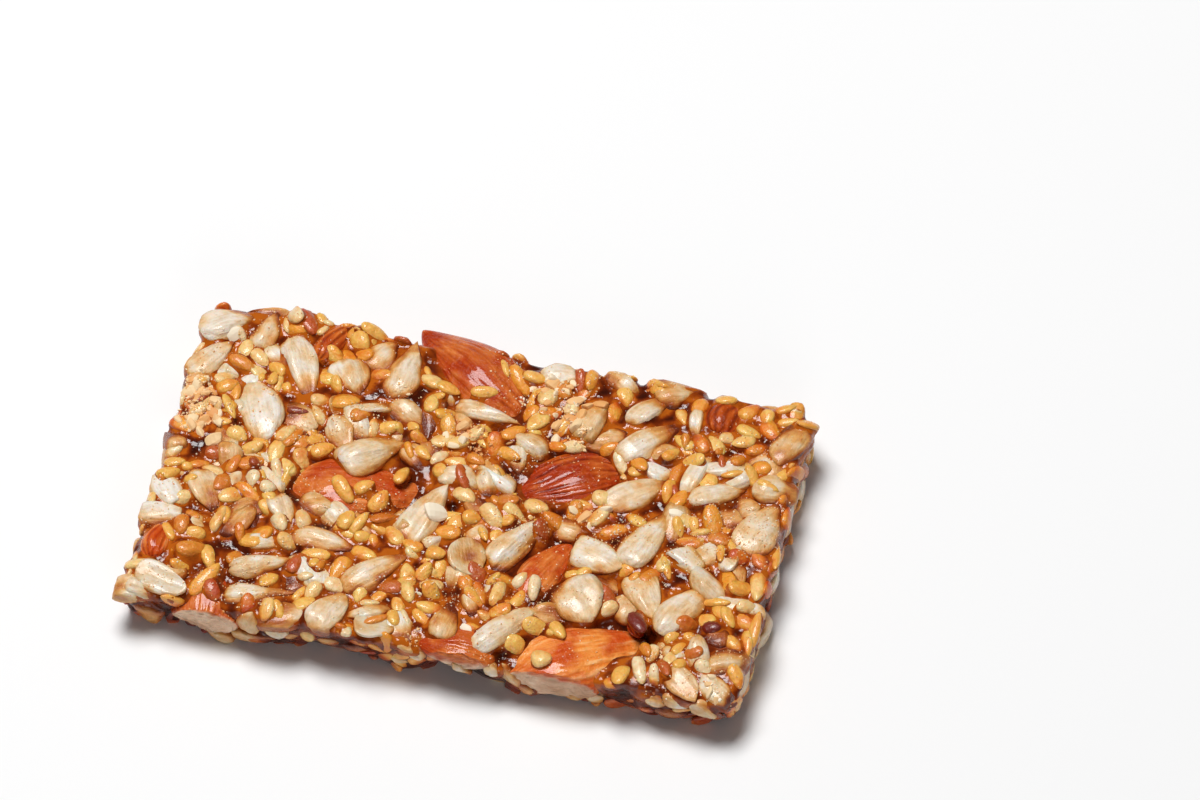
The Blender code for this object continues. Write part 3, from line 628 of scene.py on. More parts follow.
def kernel_material():
    """Hulled sunflower kernel: grey-cream, satin, finely lined; amber where caramel soaked in, and painted
    shade low down.
    """
    material, tree, shader, place, coat, tone, cut, local = new_material(
        "sunflower_kernel_hulled", "place", "coat", "tone", "cut", "local"
    )
    # Fine lines along the seed, about 0.4 mm apart; the local frame is in mm.
    slim = add_node(tree, "ShaderNodeVectorMath", {0: local, 1: (0.25, 1.9, 1.9)}, operation="MULTIPLY")
    fibre = add_node(tree, "ShaderNodeTexNoise", {"Vector": slim}, Scale=1.0, Detail=4.0)
    mottle = add_node(tree, "ShaderNodeTexNoise", {"Vector": place}, Scale=1100.0, Detail=6.0, Roughness=0.7)
    patch = add_node(tree, "ShaderNodeTexNoise", {"Vector": place}, Scale=380.0, Detail=4.0)
    relief = add_node(tree, "ShaderNodeMath", {0: mottle, 1: fibre}, operation="ADD")
    shade = add_node(tree, "ShaderNodeMapRange", {"Value": relief}, From_Min=0.75, From_Max=1.1)
    dark = mixed(tree, tone, "#E0CEB6", "#DABC94")
    body = mixed(tree, shade, dark, mixed(tree, tone, "#F6ECE0", "#F3E0C8"))
    bare = mixed(tree, cut, body, mixed(tree, 0.5, body, "#D2C4AC"))
    stops = {0.0: "#FFFFFF", 0.22: "#FCE8C6", 0.45: "#EFB86A", 0.7: "#C46E22", 1.0: "#7A300C"}
    colour, stain = stained(tree, bare, coat, patch, -0.24, 0.26, stops)
    rough = add_node(tree, "ShaderNodeMapRange", {"Value": stain}, To_Min=0.45, To_Max=0.2)
    bump = add_node(tree, "ShaderNodeBump", {"Height": relief}, Strength=0.5, Distance=0.0005)
    links = {"Base Color": colour, "Roughness": rough, "Normal": bump}
    wire(tree, shader, links, Coat_Weight=0.45, Coat_Roughness=0.14, Subsurface_Weight=0.2,
         Subsurface_Scale=0.0008)
    return material


def flank(points, centre, size):
    """Caramel and painted shade low on a seed's own flanks: 0 on its crown, 0.4 from its waist down."""
    return 0.4 * np.clip(1 - (points[:, 2] - centre[2]) / (0.42 * size[2]), 0, 1)


def add_kernel(form, seed, grid, place, swing, coat):
    """Adds a kernel to the others; its tone is a sine, and coat gives the caramel on its points."""
    points, faces, cut, local = placed_kernel(form, seed, grid, *place)
    tone = (math.sin(swing) + 1) / 2
    kernels.add(points, faces, coat=coat(points, tone), tone=tone, cut=cut, local=local)


kernels = Heap()
laid_kernels = [kernel_place(row) for row in KERNELS]
for number, (kind, row, place) in enumerate(zip(KERNEL_KINDS, KERNELS, laid_kernels)):
    add_kernel(kind, 300 + number, TOP_GRID, place, 7.3 * number, lambda points, tone: (
        stain_at(points, 0.45 * row[6], 0.9) + flank(points, place[0], place[2])
    ))
side_laid = [side_kernels(index) for index in range(4)]
for index in range(4):
    for number, place in enumerate(from_side(index, side_laid[index])):
        add_kernel("whole", 500 + 50 * index + number, SIDE_GRID, place, 7.3 * number + index,
                   lambda points, tone: stain_at(points, 0.2 * tone))


# Spacing of the height maps' points.
CELL = 0.25


class Bed:
    """A face's height map, on which seeds come to rest where it is lowest.

    Local axes are u along the face, v across it and h out of it, all in mm.
    """

    def __init__(self, long, wide, level, rng):
        self.half = (long / 2, wide / 2)
        self.u = np.arange(-long / 2, long / 2 + CELL, CELL)
        self.v = np.arange(-wide / 2, wide / 2 + CELL, CELL)
        self.height = np.full((len(self.u), len(self.v)), float(level))
        self.shunned = np.zeros_like(self.height)
        self.rng = rng

    def window(self, u, v, reach):
        """Slices of the map within reach of a point."""
        i = np.searchsorted(self.u, [u - reach, u + reach])
        j = np.searchsorted(self.v, [v - reach, v + reach])
        return slice(*i), slice(*j)

    def shun(self, u, v, turn, long, wide):
        """Keeps settling seeds off an ellipse of these full sizes."""
        way = math.radians(turn)
        du, dv = self.u[:, None] - u, self.v[None, :] - v
        along = (du * math.cos(way) + dv * math.sin(way)) / (long / 2)
        across = (dv * math.cos(way) - du * math.sin(way)) / (wide / 2)
        self.shunned[along**2 + across**2 < 1] = 9.0

    def raise_to(self, centre, axes, size):
        """Lifts the map to the upper half of an ellipsoid with these axes and full sizes."""
        form = axes @ np.diag(4 / np.square(size)) @ axes.T
        place = self.window(centre[0], centre[1], max(size) / 2)
        du = self.u[place[0]][:, None] - centre[0]
        dv = self.v[place[1]][None, :] - centre[1]
        lean = form[0, 2] * du + form[1, 2] * dv
        rest = form[0, 0] * du**2 + 2 * form[0, 1] * du * dv + form[1, 1] * dv**2 - 1
        inside = lean**2 - form[2, 2] * rest
        top = centre[2] + (np.sqrt(np.maximum(inside, 0)) - lean) / form[2, 2]
        here = self.height[place]
        self.height[place] = np.where(inside > 0, np.maximum(here, top), here)

    def slope_at(self, u, v, reach):
        """Mean height and slope of the map under a seed, by least squares on a round patch."""
        place = self.window(u, v, reach)
        du = self.u[place[0]][:, None] - u
        dv = self.v[place[1]][None, :] - v
        under = (du**2 + dv**2 < reach**2).astype(float)
        if under.sum() < 12:
            return None
        here = self.height[place]
        mean = (here * under).sum() / under.sum()
        off = (here - mean) * under
        rise_u = (off * du).sum() / (under * du**2).sum()
        rise_v = (off * dv).sum() / (under * dv**2).sum()
        return mean, rise_u, rise_v

    def lay(self, found, u, v, turn, size, ceiling, lift=0.22):
        """Rests one seed on the map: it leans with the slope, and the map rises over it."""
        mean, rise_u, rise_v = found
        shake = self.rng.normal(0, 0.16, 2)
        out = Vector((-rise_u * 0.8 + shake[0], -rise_v * 0.8 + shake[1], 1)).normalized()
        lean = Vector((0, 0, 1)).rotation_difference(out).to_matrix()
        axes = np.array(lean) @ turned(turn)
        centre = np.array([u, v, min(mean + lift, ceiling)])
        self.raise_to(centre, axes, size)
        return centre, axes, np.array(size)

    def settle(self, count, size, spread, ceiling, lift=0.22, tries=14):
        """Lays seeds one by one, each in the lowest of a few tried places."""
        laid = []
        for _ in range(count):
            spots = []
            for _ in range(tries):
                u = self.rng.uniform(-self.half[0], self.half[0])
                v = self.rng.uniform(-self.half[1], self.half[1])
                found = self.slope_at(u, v, 0.38 * size[0])
                if found is not None:
                    i, j = np.searchsorted(self.u, u) - 1, np.searchsorted(self.v, v) - 1
                    spots.append((found[0] + self.shunned[i, j], u, v, found))
            mean, u, v, found = min(spots)
            scale = self.rng.uniform(1 - spread, 1 + spread, 3)
            if mean < ceiling:
                laid.append(self.lay(found, u, v, self.rng.uniform(0, 360), size * scale, ceiling, lift))
        return laid


# Kernels and bits of kernel that lie deeper, glazed over by the caramel, fill the gaps between.
BURIED = 96
BURIED_SIZE = np.array([5.8, 3.7, 2.3])
BURIED_CEILING = THICKNESS - 0.95
BURIED_FORMS = ("whole", "egg", "curved", "broken")
top_bed = Bed(LENGTH - 1.6, WIDTH - 1.6, 0.0, np.random.default_rng(11))
plan_u, plan_v = np.meshgrid(top_bed.u, top_bed.v, indexing="ij")
top_bed.height = film_level(plan_u.ravel(), plan_v.ravel()).reshape(plan_u.shape) - 0.3
for name, x, y, length, width, thickness, turn, middle, *_ in ALMONDS:
    top_bed.raise_to(np.array([x, y, middle]), turned(turn), (length, width, thickness))
    top_bed.shun(x, y, turn, 0.96 * length, 0.92 * width)
for x, y, length, width, turn, _ in CHIPS:
    top_bed.shun(x, y, turn, length, width)
for place in laid_chips + laid_kernels:
    top_bed.raise_to(*place)
buried = top_bed.settle(BURIED, BURIED_SIZE, 0.25, BURIED_CEILING, -0.3, 8)
for number, place in enumerate(buried):
    add_kernel(BURIED_FORMS[number % 4], 800 + number, SIDE_GRID, place, 5.1 * number, lambda points, tone: (
        stain_at(points, 0.05 + 0.35 * tone, 0.8) + flank(points, place[0], place[2])
    ))


# The underside. The hot sheet was pressed on a flat tray, so kernels and sesame lie flush there
# with caramel between them.
UNDER_KERNELS = 46
UNDER_KERNEL_OUT = 0.12
under_rng = np.random.default_rng(70)
under_bed = Bed(LENGTH - 3.4, WIDTH - 3.4, -1.1, under_rng)


def from_under(placed):
    """Moves seeds from the underside's own axes, which look down, to the bar's."""
    turn = np.array([(1, 0, 0), (0, -1, 0), (0, 0, -1)], float).T
    return [(turn @ centre, turn @ axes, size) for centre, axes, size in placed]


under_laid = []
for number in range(UNDER_KERNELS):
    found = None
    for _ in range(30):
        u = under_rng.uniform(-under_bed.half[0] + 3, under_bed.half[0] - 3)
        v = under_rng.uniform(-under_bed.half[1] + 3, under_bed.half[1] - 3)
        spot = under_bed.slope_at(u, v, 2.6)
        if spot is not None and (found is None or spot[0] < found[0][0]):
            found = (spot, u, v)
    size = np.array([under_rng.uniform(8, 10.5), under_rng.uniform(4, 5.2), KERNEL_DEPTH])
    turn = under_rng.uniform(0, 360)
    centre = np.array([found[1], found[2], UNDER_KERNEL_OUT - KERNEL_DEPTH / 2])
    axes = turned(turn, under_rng.normal(0, 5), under_rng.normal(0, 7))
    under_bed.raise_to(centre, axes, size)
    under_laid.append((centre, axes, size))
for number, place in enumerate(from_under(under_laid)):
    add_kernel("whole", 900 + number, UNDER_GRID, place, 7.3 * number, lambda points, tone: 0.3 + 0.4 * tone)
kernel_piece = kernels.piece("sunflower_kernels", kernel_material())
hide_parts("bar")
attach(kernel_piece, "root")


# Sesame. Small flat drops, hulled and toasted golden, poured into the mix by the spoonful, so
# that they fill every gap between the kernels. Each lies on what was there before it.
SESAME = np.array([3.45, 2.3, 1.1])
SESAME_GRID = (10, 7)
DEEP_SESAME = 150
TOP_SESAME = 60
SIDE_SESAME_PER_MM = (0.35, 0.8, 0.8, 0.8)
UNDER_SESAME = 420

# Seeds that lie on top of the others and can be told apart: x, y, length, width, turn, tone
# from 0 for pale to 1 for dark red-brown. Read with 90 for the bar's length.
READ_SCALE = LENGTH / 90
TOLD_SESAME = (
    (-39, 21.2, 3, 1.5, -45, 0), (-36.1, 18, 2.8, 1.6, -60, .3), (-37.5, 16.2, 4.5, 2.2, -20, .6),
    (-39.4, 13.4, 3.5, 2.5, 40, .1), (-42.5, 11.6, 2.3, 1.5, 40, .3), (-34.2, 14.6, 1.8, 1.2, 90, .3),
    (-32.6, 14.7, 2.6, 1.7, 90, .3), (-30.2, 13.5, 2.2, 1.5, -50, .3), (-27.7, 9.6, 3.3, 1.2, 5, .95),
    (-37.4, 8, 4.5, 1.5, -55, .3), (-35.2, 3.6, 3.3, 2.7, -20, .2), (-32.6, 1.9, 3.8, 2.3, 20, .2),
    (-24, 3.6, 2.7, 2, 40, .2), (-27.2, 5, 4.5, 2.2, 60, .6), (-28, 2.2, 3, 1.4, 10, .3),
    (-23.4, 15.5, 3.2, 1.8, -60, .3), (-18.7, 10.6, 3, 2.6, 20, .6), (-22, 24.1, 3.6, 3.2, -40, .3),
    (-20.2, 26, 5, 2.4, -10, .3), (-27.9, 26.5, 3.4, 1.8, -45, .3), (-30.2, 26.5, 5.5, 2.8, -50, .8),
    (-27.6, 24.5, 2.4, 1.4, 60, .1), (-31.1, 24, 4, 2.6, 15, .5), (-31.9, 25.9, 3.5, 2.5, -40, 0),
    (-43.2, -1.1, 3, 2, 45, 0), (-42.7, -3.1, 3.2, 2, 10, .3), (-39.2, -2.5, 3, 1.8, 20, .3),
    (-37.5, -0.3, 2.8, 2.4, 0, .8), (-34.4, -1.5, 3.4, 1.8, 75, .6), (-28.1, -1, 4, 1.8, -65, 0),
    (-26.5, -1.8, 4.3, 1.5, 82, .3), (-18, -2.6, 5, 2.3, -45, .3), (-15.1, -1.6, 3.3, 2.5, 35, .3),
    (-37.7, 5.5, 2.6, 1.6, 0, .3), (-39, 7.7, 2.8, 1.4, -80, 0), (-9.6, 9, 3.2, 1.8, -25, .3),
    (-11, 10.8, 2.4, 1.8, -15, .3), (-12.8, 10.3, 2.2, 1.6, -30, .3), (-8.5, 6.5, 3, 2, -35, .3),
    (-10.5, 6.5, 3, 1.2, -60, .5), (-10.4, 2.1, 4, 2.2, 80, .3), (-12.6, -3.2, 4, 2.7, 67, .3),
    (-5.9, 6.5, 3.6, 2.2, 50, 0), (-5.4, 4, 2.6, 2.4, -60, .3), (-2.4, 19, 4, 2, 15, .3),
    (-0.5, 23.7, 3.5, 1.5, -60, .3), (2, 22.5, 5.5, 2.6, -50, .5), (8.5, 22, 3.4, 2.6, -50, .6),
    (10.5, 24, 4, 1.7, -80, .8), (3.5, 9.2, 4.2, 2, -20, .4), (-0.8, 7, 3, 2, -20, .6),
    (-1.8, 3.2, 4.5, 2, -60, .8), (2.9, 6, 2.5, 1.6, -20, .3), (9.5, 1.1, 4.2, 3, -15, .15),
    (6.8, -1, 4.2, 2.6, -30, .15), (3.8, 1, 2.2, 2.2, 60, .6), (5.6, 2, 2.4, 1.4, 60, .3),
    (3.8, -2.4, 5, 2.9, -43, .1), (1, -3.4, 2.8, 2.6, 0, .3), (9.9, 12.2, 3, 1.8, -10, .5),
    (-9.2, 17, 3.5, 1.6, 0, .3), (-11, 20.7, 3.6, 1.4, -60, .3), (10.1, 15.7, 4, 2.6, 65, .3),
    (26.2, 21.7, 3.8, 2, -55, .15), (27.6, 16.9, 2.6, 1.4, -80, .6), (26.2, 14, 3.4, 1.8, 55, .3),
    (27.6, 12.2, 5.5, 1.9, 85, .6), (28.7, 7.5, 4.5, 1.6, -60, .8), (31.7, 25.5, 3.2, 2.2, 15, .3),
    (35.4, 24.5, 4.2, 3.2, 50, .4), (41.1, 23.9, 3.3, 1.8, 20, .2), (39, 21.7, 4.4, 2.6, -40, .5),
    (35.5, 19.1, 3.8, 1.3, 60, .3), (33.1, 16.5, 3, 1.2, 50, .6), (33.7, 14, 3, 1.2, -70, .8),
    (35.7, 16, 4, 2.2, 75, .6), (35.5, 12.7, 3.4, 1.5, 20, .3), (39.4, 14.7, 3.2, 3, 0, .5),
    (42.8, 15, 4.2, 2.2, 70, .3), (38.5, 12.7, 4.5, 1.6, -50, .3), (41, 11.5, 3.5, 1.6, -15, .3),
    (32.1, 3, 2.8, 1.6, -70, .3), (30, 2, 3.4, 1.8, -65, .3), (34.8, 3.7, 6, 3, -65, .5),
    (36.9, -0.7, 4.6, 1.4, -80, .3), (38.6, -0.3, 5, 1.6, -65, .3), (44.4, 0.8, 6, 1.9, -75, .3),
    (17.8, 4.2, 2.6, 2, 20, .5), (19.5, 11.2, 4.5, 2, -60, 0), (22.2, 11.5, 3.5, 2.4, -50, .5),
    (40.2, 26, 3.5, 2, 25, .3), (-40.6, -3.4, 2, 1.6, 0, .3), (-31.5, -0.7, 1.6, 1.6, 0, .9),
    (-31.1, -3.6, 3, 2.6, -80, 0), (-28.6, -4.5, 2.4, 2.4, 0, 0), (-28, -7.9, 3, 1.8, -40, .3),
    (-34.2, -11.2, 4.6, 2, 75, .1), (-39.7, -5.5, 2.4, 1.8, 0, .3), (-38.1, -11.2, 3, 2, -30, .6),
    (-40.5, -15, 3.6, 2, -60, .3), (-37.1, -14.5, 3.6, 2.8, 20, .3), (-36.5, -17.5, 5, 3, 25, .6),
    (-37.2, -20.4, 4.2, 2, 10, .3), (-34, -18, 4.4, 2, -60, .3), (-30.7, -13, 3.2, 1.6, -75, .6),
    (-21.6, -16.5, 3.8, 2.2, 75, .8), (-19.6, -18.5, 2.4, 1.6, 10, 0), (-19.6, -20.9, 3.8, 1.6, 60, .3),
    (-19, -15.9, 2, 1.6, 80, .3), (-17.9, -16, 3, 1.3, 75, .6), (-22, -25.1, 3.6, 2, -55, .3),
    (-16.2, -7.7, 3.4, 2.4, 80, .3), (-14.3, -7.8, 4.2, 1.9, 65, .3), (-33.5, -22, 6.4, 2.6, 62, .4),
    (-31.1, -6, 5, 2.4, -35, .5), (-30.2, -16.7, 4, 2.6, 60, .6), (-32, -23.5, 3.6, 2.4, -50, .8),
    (3.2, -5.5, 3.6, 1.5, -60, .3), (-5.5, -11, 3.2, 2.2, -20, .1), (-2.5, -10.5, 3, 2.4, 10, .3),
    (-3.4, -14, 4, 2.4, 70, .3), (-13.4, -9.7, 2.6, 2, 20, .3), (-11.5, -10.2, 3.2, 1.8, -60, .3),
    (5, -15.2, 5, 1.8, -65, .6), (7.6, -15.2, 4.8, 2.2, 85, .15), (6.5, -13, 3, 2, 40, .3),
    (10.6, -15.2, 4.2, 2.2, 75, .3), (12.4, -13, 4.4, 1.8, -80, 0), (10.2, -12, 3, 2, 60, 0),
    (-1.5, -17.2, 3.8, 2.6, -40, .3), (-9.7, -20.7, 3, 2, 0, .1), (-8.2, -23.7, 4, 1.8, 30, .6),
    (-5.7, -22.7, 3, 2, -60, .3), (-4.2, -22, 3, 1.2, -60, 0), (-11.6, -26.8, 2.2, 1.6, 80, 0),
    (16.4, -25, 3, 2.8, 40, .15), (17, -19.7, 2.4, 2.4, 0, .3), (5.5, -21.5, 2.6, 1.6, 0, .3),
    (17.1, -9.1, 2.4, 2, 0, .3), (30, -5.5, 4, 1.4, -65, .3), (39, -5.5, 5, 3, -50, .5),
    (43.2, -5, 7.4, 3, -82, .15), (40.5, -11.7, 4, 2.4, -60, .3), (38.2, -9.6, 4.4, 1.4, 5, .3),
    (22.9, -12.5, 4.2, 2.6, -50, .8), (44, -15.5, 4.6, 2, -80, .3), (33.6, -16.6, 3.2, 2.2, 60, .3),
    (36.1, -16.2, 2.6, 2, -20, .3), (35, -18.7, 3.2, 2, 60, .3), (35.7, -21.4, 3, 2.2, 60, .3),
    (30.2, -19.7, 3, 2, -50, .6), (30.2, -23.5, 5, 2, -65, 0), (32.5, -24.5, 4.6, 1.7, -78, 0),
    (33.6, -22.5, 4, 1.8, -60, .8), (39.2, -21.5, 3.4, 2.4, -30, 0), (37.1, -19.2, 3, 2.8, 0, .7),
    (28.2, -16, 4.4, 2.4, -50, 1), (38.6, -14.2, 3, 2.6, 0, 1), (17.5, -19.5, 3.6, 2.2, -50, .3),
    (42.7, -9.7, 3.4, 2, 20, .1), (45.3, -13, 6, 2, 88, .4),
)
deep_sesame = top_bed.settle(DEEP_SESAME, SESAME, 0.14, THICKNESS - 0.5)
told_sesame, told_tones = [], []
for x, y, length, width, turn, tone in TOLD_SESAME:
    size = np.array([length, width, 0.35 + 0.4 * width]) * READ_SCALE
    u, v = kept_inside(x * READ_SCALE, y * READ_SCALE, size[0] * 0.7, size[1] * 0.7, turn)
    found = top_bed.slope_at(u, v, 1.0) or top_bed.slope_at(u * 0.97, v * 0.96, 1.2)
    told_sesame.append(top_bed.lay(found, u, v, turn, size, THICKNESS - 0.1, 0.05))
    told_tones.append(tone)
top_sesame = deep_sesame + top_bed.settle(TOP_SESAME, SESAME, 0.14, THICKNESS - 0.5)

side_sesame = []
for index in range(4):
    length = SIDES[index][3]
    bed = Bed(length - 3.0, THICKNESS - 2.4, -1.1, np.random.default_rng(40 + index))
    bed.height += side_wave(bed.u, 1.1 * index)[:, None]
    for centre, axes, size in side_laid[index]:
        bed.raise_to(centre, axes, size)
    if index == 0:
        bed.shun(18.9, 1.0, 0, 19, 7)
        bed.shun(-28.9, 0.6, 0, 12, 6)
        bed.shun(3.4, 2.6, 0, 12, 4)
    side_sesame.append(bed.settle(round(SIDE_SESAME_PER_MM[index] * length), SESAME, 0.14, 0.0))
under_sesame = under_bed.settle(UNDER_SESAME, SESAME, 0.14, -0.25)


def sesame_form(seed):
    """A sesame seed of unit size: a flat drop with one rounder end, a little bent and uneven."""
    t, angle, faces = seed_grid(*SESAME_GRID)
    draw = np.random.default_rng(seed)
    girth = kernel_outline(t, draw.uniform(0.42, 0.5), draw.uniform(0.55, 0.72))
    girth = girth * faceted(angle, t, draw, 6, 8)
    x = t - 0.5
    y = girth * np.cos(angle) / 2 + draw.uniform(-0.06, 0.06) * (1 - 4 * x**2)
    z = girth * np.sign(np.sin(angle)) * np.abs(np.sin(angle)) ** 0.85 / 2
    points = np.column_stack([x, y, z + draw.uniform(-0.1, 0.1) * (1 - 4 * x**2)])
    return points + 0.018 * wobble(points, seed, 6, 0.5, 1.5), faces


def sesame_material():
    """Toasted sesame under a thin caramel film: golden, some amber or brown, with a soft gloss."""
    material, tree, shader, place, coat, tone = new_material("sesame_toasted", "place", "coat", "tone")
    mottle = add_node(tree, "ShaderNodeTexNoise", {"Vector": place}, Scale=1300.0, Detail=5.0, Roughness=0.6)
    patch = add_node(tree, "ShaderNodeTexNoise", {"Vector": place}, Scale=420.0, Detail=4.0)
    stops = {0.0: "#FCE4B8", 0.22: "#FECC68", 0.5: "#F6A430", 0.8: "#C86018", 1.0: "#7C200C"}
    golden = colour_ramp(tree, tone, stops)
    shade = add_node(tree, "ShaderNodeMapRange", {"Value": mottle}, From_Min=0.35, From_Max=0.65)
    body = mixed(tree, shade, mixed(tree, 0.4, golden, "#E0B070", "MULTIPLY"), golden)
    stops = {0.0: "#FFFFFF", 0.25: "#FADCA4", 0.5: "#E89E48", 0.75: "#BA6220", 1.0: "#7A2E0A"}
    colour, _ = stained(tree, body, coat, patch, -0.35, 0.25, stops)
    rough = add_node(tree, "ShaderNodeMapRange", {"Value": patch}, To_Min=0.18, To_Max=0.5)
    bump = add_node(tree, "ShaderNodeBump", {"Height": mottle}, Strength=0.6, Distance=0.0006)
    links = {"Base Color": colour, "Roughness": rough, "Normal": bump}
    wire(tree, shader, links, Coat_Weight=0.5, Coat_Roughness=0.09, Subsurface_Weight=0.25,
         Subsurface_Scale=0.0007)
    return material


sesame = Heap()
sesame_forms = [sesame_form(600 + k) for k in range(8)]
tone_rng = np.random.default_rng(12)
all_sesame = list(top_sesame)
for index in range(4):
    all_sesame += from_side(index, side_sesame[index])
all_sesame += from_under(under_sesame)
tones = list(tone_rng.beta(1.4, 3.2, len(all_sesame))) + told_tones
amounts = list(np.maximum(tone_rng.normal(-0.05, 0.22, len(all_sesame)), 0)) + [0.0] * len(told_tones)
for number, (centre, axes, size) in enumerate(all_sesame + told_sesame):
    unit, faces = sesame_forms[number % 8]
    points, _ = pressed((unit * size) @ axes.T + centre)
    sesame.add(points, faces, coat=stain_at(points, amounts[number], 0.5), tone=tones[number])
sesame_piece = sesame.piece("sesame_seeds", sesame_material())
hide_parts("bar")
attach(sesame_piece, "root")


# Caramel. Sugar boiled to a hard amber glass: nearly black-red where it lies thick over the seeds,
# orange where it is thin. It is painted darker still deep below the bar's faces and in its sides,
# as shade, and painted lighter near the edges of its top, as a glow. It fills the bar and climbs
# the flanks of every seed in small fillets.
CARAMEL_VOXEL = 0.37
CARAMEL_INSET = 0.55
# Lowest level of the caramel, and of what is fused into it, above the table.
CARAMEL_FOOT = 0.12
CORNER_POWER = 13.0
# Heights of the slab's lower rings, and their share of its plan.
SLAB_PROFILE = (
    (CARAMEL_FOOT, 0.93), (CARAMEL_FOOT, 0.965), (0.5, 0.985), (1.2, 0.995),
    (2.0, 1.0), (2.9, 1.0), (3.8, 1.0), (4.7, 1.0), (5.6, 1.0),
)
# Caramel thicker than this looks no darker.
THICKEST = 2.2


def caramel_core(around=420, rings=80):
    """The slab between the seeds: rings of a rounded rectangle from the foot to the crown.

    Their plan is |cos|^n + |sin|^n = 1. The upper rings shrink to a point and take their height
    from the caramel's level.
    """
    angle = 2 * np.pi * np.arange(around) / around
    bulge = np.abs(np.cos(angle)) ** CORNER_POWER + np.abs(np.sin(angle)) ** CORNER_POWER
    spread = bulge ** (-1 / CORNER_POWER)
    plan_x = (LENGTH / 2 - CARAMEL_INSET) * spread * np.cos(angle)
    plan_y = (WIDTH / 2 - CARAMEL_INSET) * spread * np.sin(angle)
    parts = []
    for height, share in SLAB_PROFILE:
        parts.append(np.column_stack([plan_x * share, plan_y * share, np.full(around, height)]))
    for share in 0.99 * (1 - np.arange(rings) / rings):
        x, y = plan_x * share, plan_y * share
        parts.append(np.column_stack([x, y, film_level(x, y)]))
    middle = np.zeros(1)
    points = np.vstack(parts + [[[0, 0, CARAMEL_FOOT]], [[0, 0, film_level(middle, middle)[0]]]])
    sides = (points[:, 2] > 0.3) & (points[:, 2] < 5.8)
    points[sides, :2] *= 1 + 0.008 * ripple(points[sides], 31, 12, 0.08, 0.4)[:, None]
    return pressed(points, CARAMEL_FOOT)[0], ring_faces(around, len(parts))


def caramel_material():
    """Hard caramel: glassy and smooth; darker with its thickness over seeds, and with painted shade deep
    down.
    """
    material, tree, shader, place, depth = new_material("caramel_hard_amber", "place", "depth")
    cloud = add_node(tree, "ShaderNodeTexNoise", {"Vector": place}, Scale=420.0, Detail=4.0)
    uneven = add_node(tree, "ShaderNodeMapRange", {"Value": cloud}, From_Min=0.3, From_Max=0.7,
                      To_Min=-0.15, To_Max=0.15)
    level = add_node(tree, "ShaderNodeMath", {0: depth, 1: uneven}, operation="ADD")
    colour = colour_ramp(tree, level, {
        0.0: "#B85C10", 0.07: "#963E06", 0.16: "#6C2402", 0.3: "#461200", 0.55: "#260700", 1.0: "#120300",
    })
    swell = add_node(tree, "ShaderNodeTexNoise", {"Vector": place}, Scale=620.0, Detail=1.5)
    bump = add_node(tree, "ShaderNodeBump", {"Height": swell}, Strength=0.5, Distance=0.001)
    wire(tree, shader, {"Base Color": colour, "Normal": bump}, Roughness=0.12, IOR=1.5,
         Coat_Weight=0.12, Coat_Roughness=0.06, Specular_IOR_Level=0.32, Subsurface_Weight=0.08,
         Subsurface_Scale=0.001, Subsurface_Radius=(1.0, 0.42, 0.12))
    return material


def applied(obj):
    """Replaces an object's mesh by what its modifiers make of it."""
    graph = bpy.context.evaluated_depsgraph_get()
    mesh = bpy.data.meshes.new_from_object(obj.evaluated_get(graph))
    obj.modifiers.clear()
    obj.data = mesh


def dipped(placed, spread, drop):
    """Adds wider, lower copies of seeds to the caramel, so that it climbs their flanks."""
    for number, (centre, axes, size) in enumerate(placed):
        lower = centre - np.array([0, 0, drop])
        unit, faces = sesame_forms[number % 8]
        points, _ = pressed((unit * (size + spread)) @ axes.T + lower, CARAMEL_FOOT)
        caramel.add(points, faces)


# The caramel round a kernel keeps the kernel's own form, with fewer points: how much wider, lower.
DIP_GRID = (16, 12)
DIP_SPREAD = 0.5
DIP_DROP = 0.46
caramel = Heap()
caramel.add(*caramel_core())
for number, (centre, axes, size) in enumerate(laid_kernels):
    unit, faces, _ = kernel_form(KERNEL_KINDS[number], 300 + number, DIP_GRID)
    points = (unit * (size + DIP_SPREAD)) @ axes.T + centre - np.array([0, 0, DIP_DROP])
    caramel.add(pressed(points, CARAMEL_FOOT)[0], faces)
dipped(buried, 0.15, 0.4)
dipped(laid_chips, -0.2, 0.5)
all_placed = laid_kernels + buried + laid_chips + top_sesame + told_sesame
for index in range(4):
    cut_kernels, cut_sesame = from_side(index, side_laid[index]), from_side(index, side_sesame[index])
    all_placed += cut_kernels + cut_sesame
    dipped(cut_kernels, -0.2, 0.0)
    dipped(cut_sesame, -0.1, 0.0)
all_placed += from_under(under_laid) + from_under(under_sesame)
for _, x, y, length, width, thickness, turn, middle, *_ in ALMONDS:
    all_placed.append((np.array([x, y, middle]), turned(turn), np.array([length, width, thickness])))
dipped(from_under(under_laid), -0.2, -0.25)
dipped(from_under(under_sesame), -0.1, -0.2)
dipped(top_sesame, 0.42, 0.36)
dipped(told_sesame, 0.42, 0.38)
caramel_piece = caramel.piece("caramel", caramel_material())
remesh = caramel_piece.modifiers.new("fused", "REMESH")
remesh.mode = "VOXEL"
remesh.voxel_size = CARAMEL_VOXEL * MM
relax = caramel_piece.modifiers.new("relaxed", "SMOOTH")
relax.factor = 0.6
relax.iterations = 5
applied(caramel_piece)
mesh = caramel_piece.data
mesh.shade_smooth()
place = np.zeros(len(mesh.vertices) * 3, np.float32)
mesh.vertices.foreach_get("co", place)
place = place.reshape(-1, 3) / MM
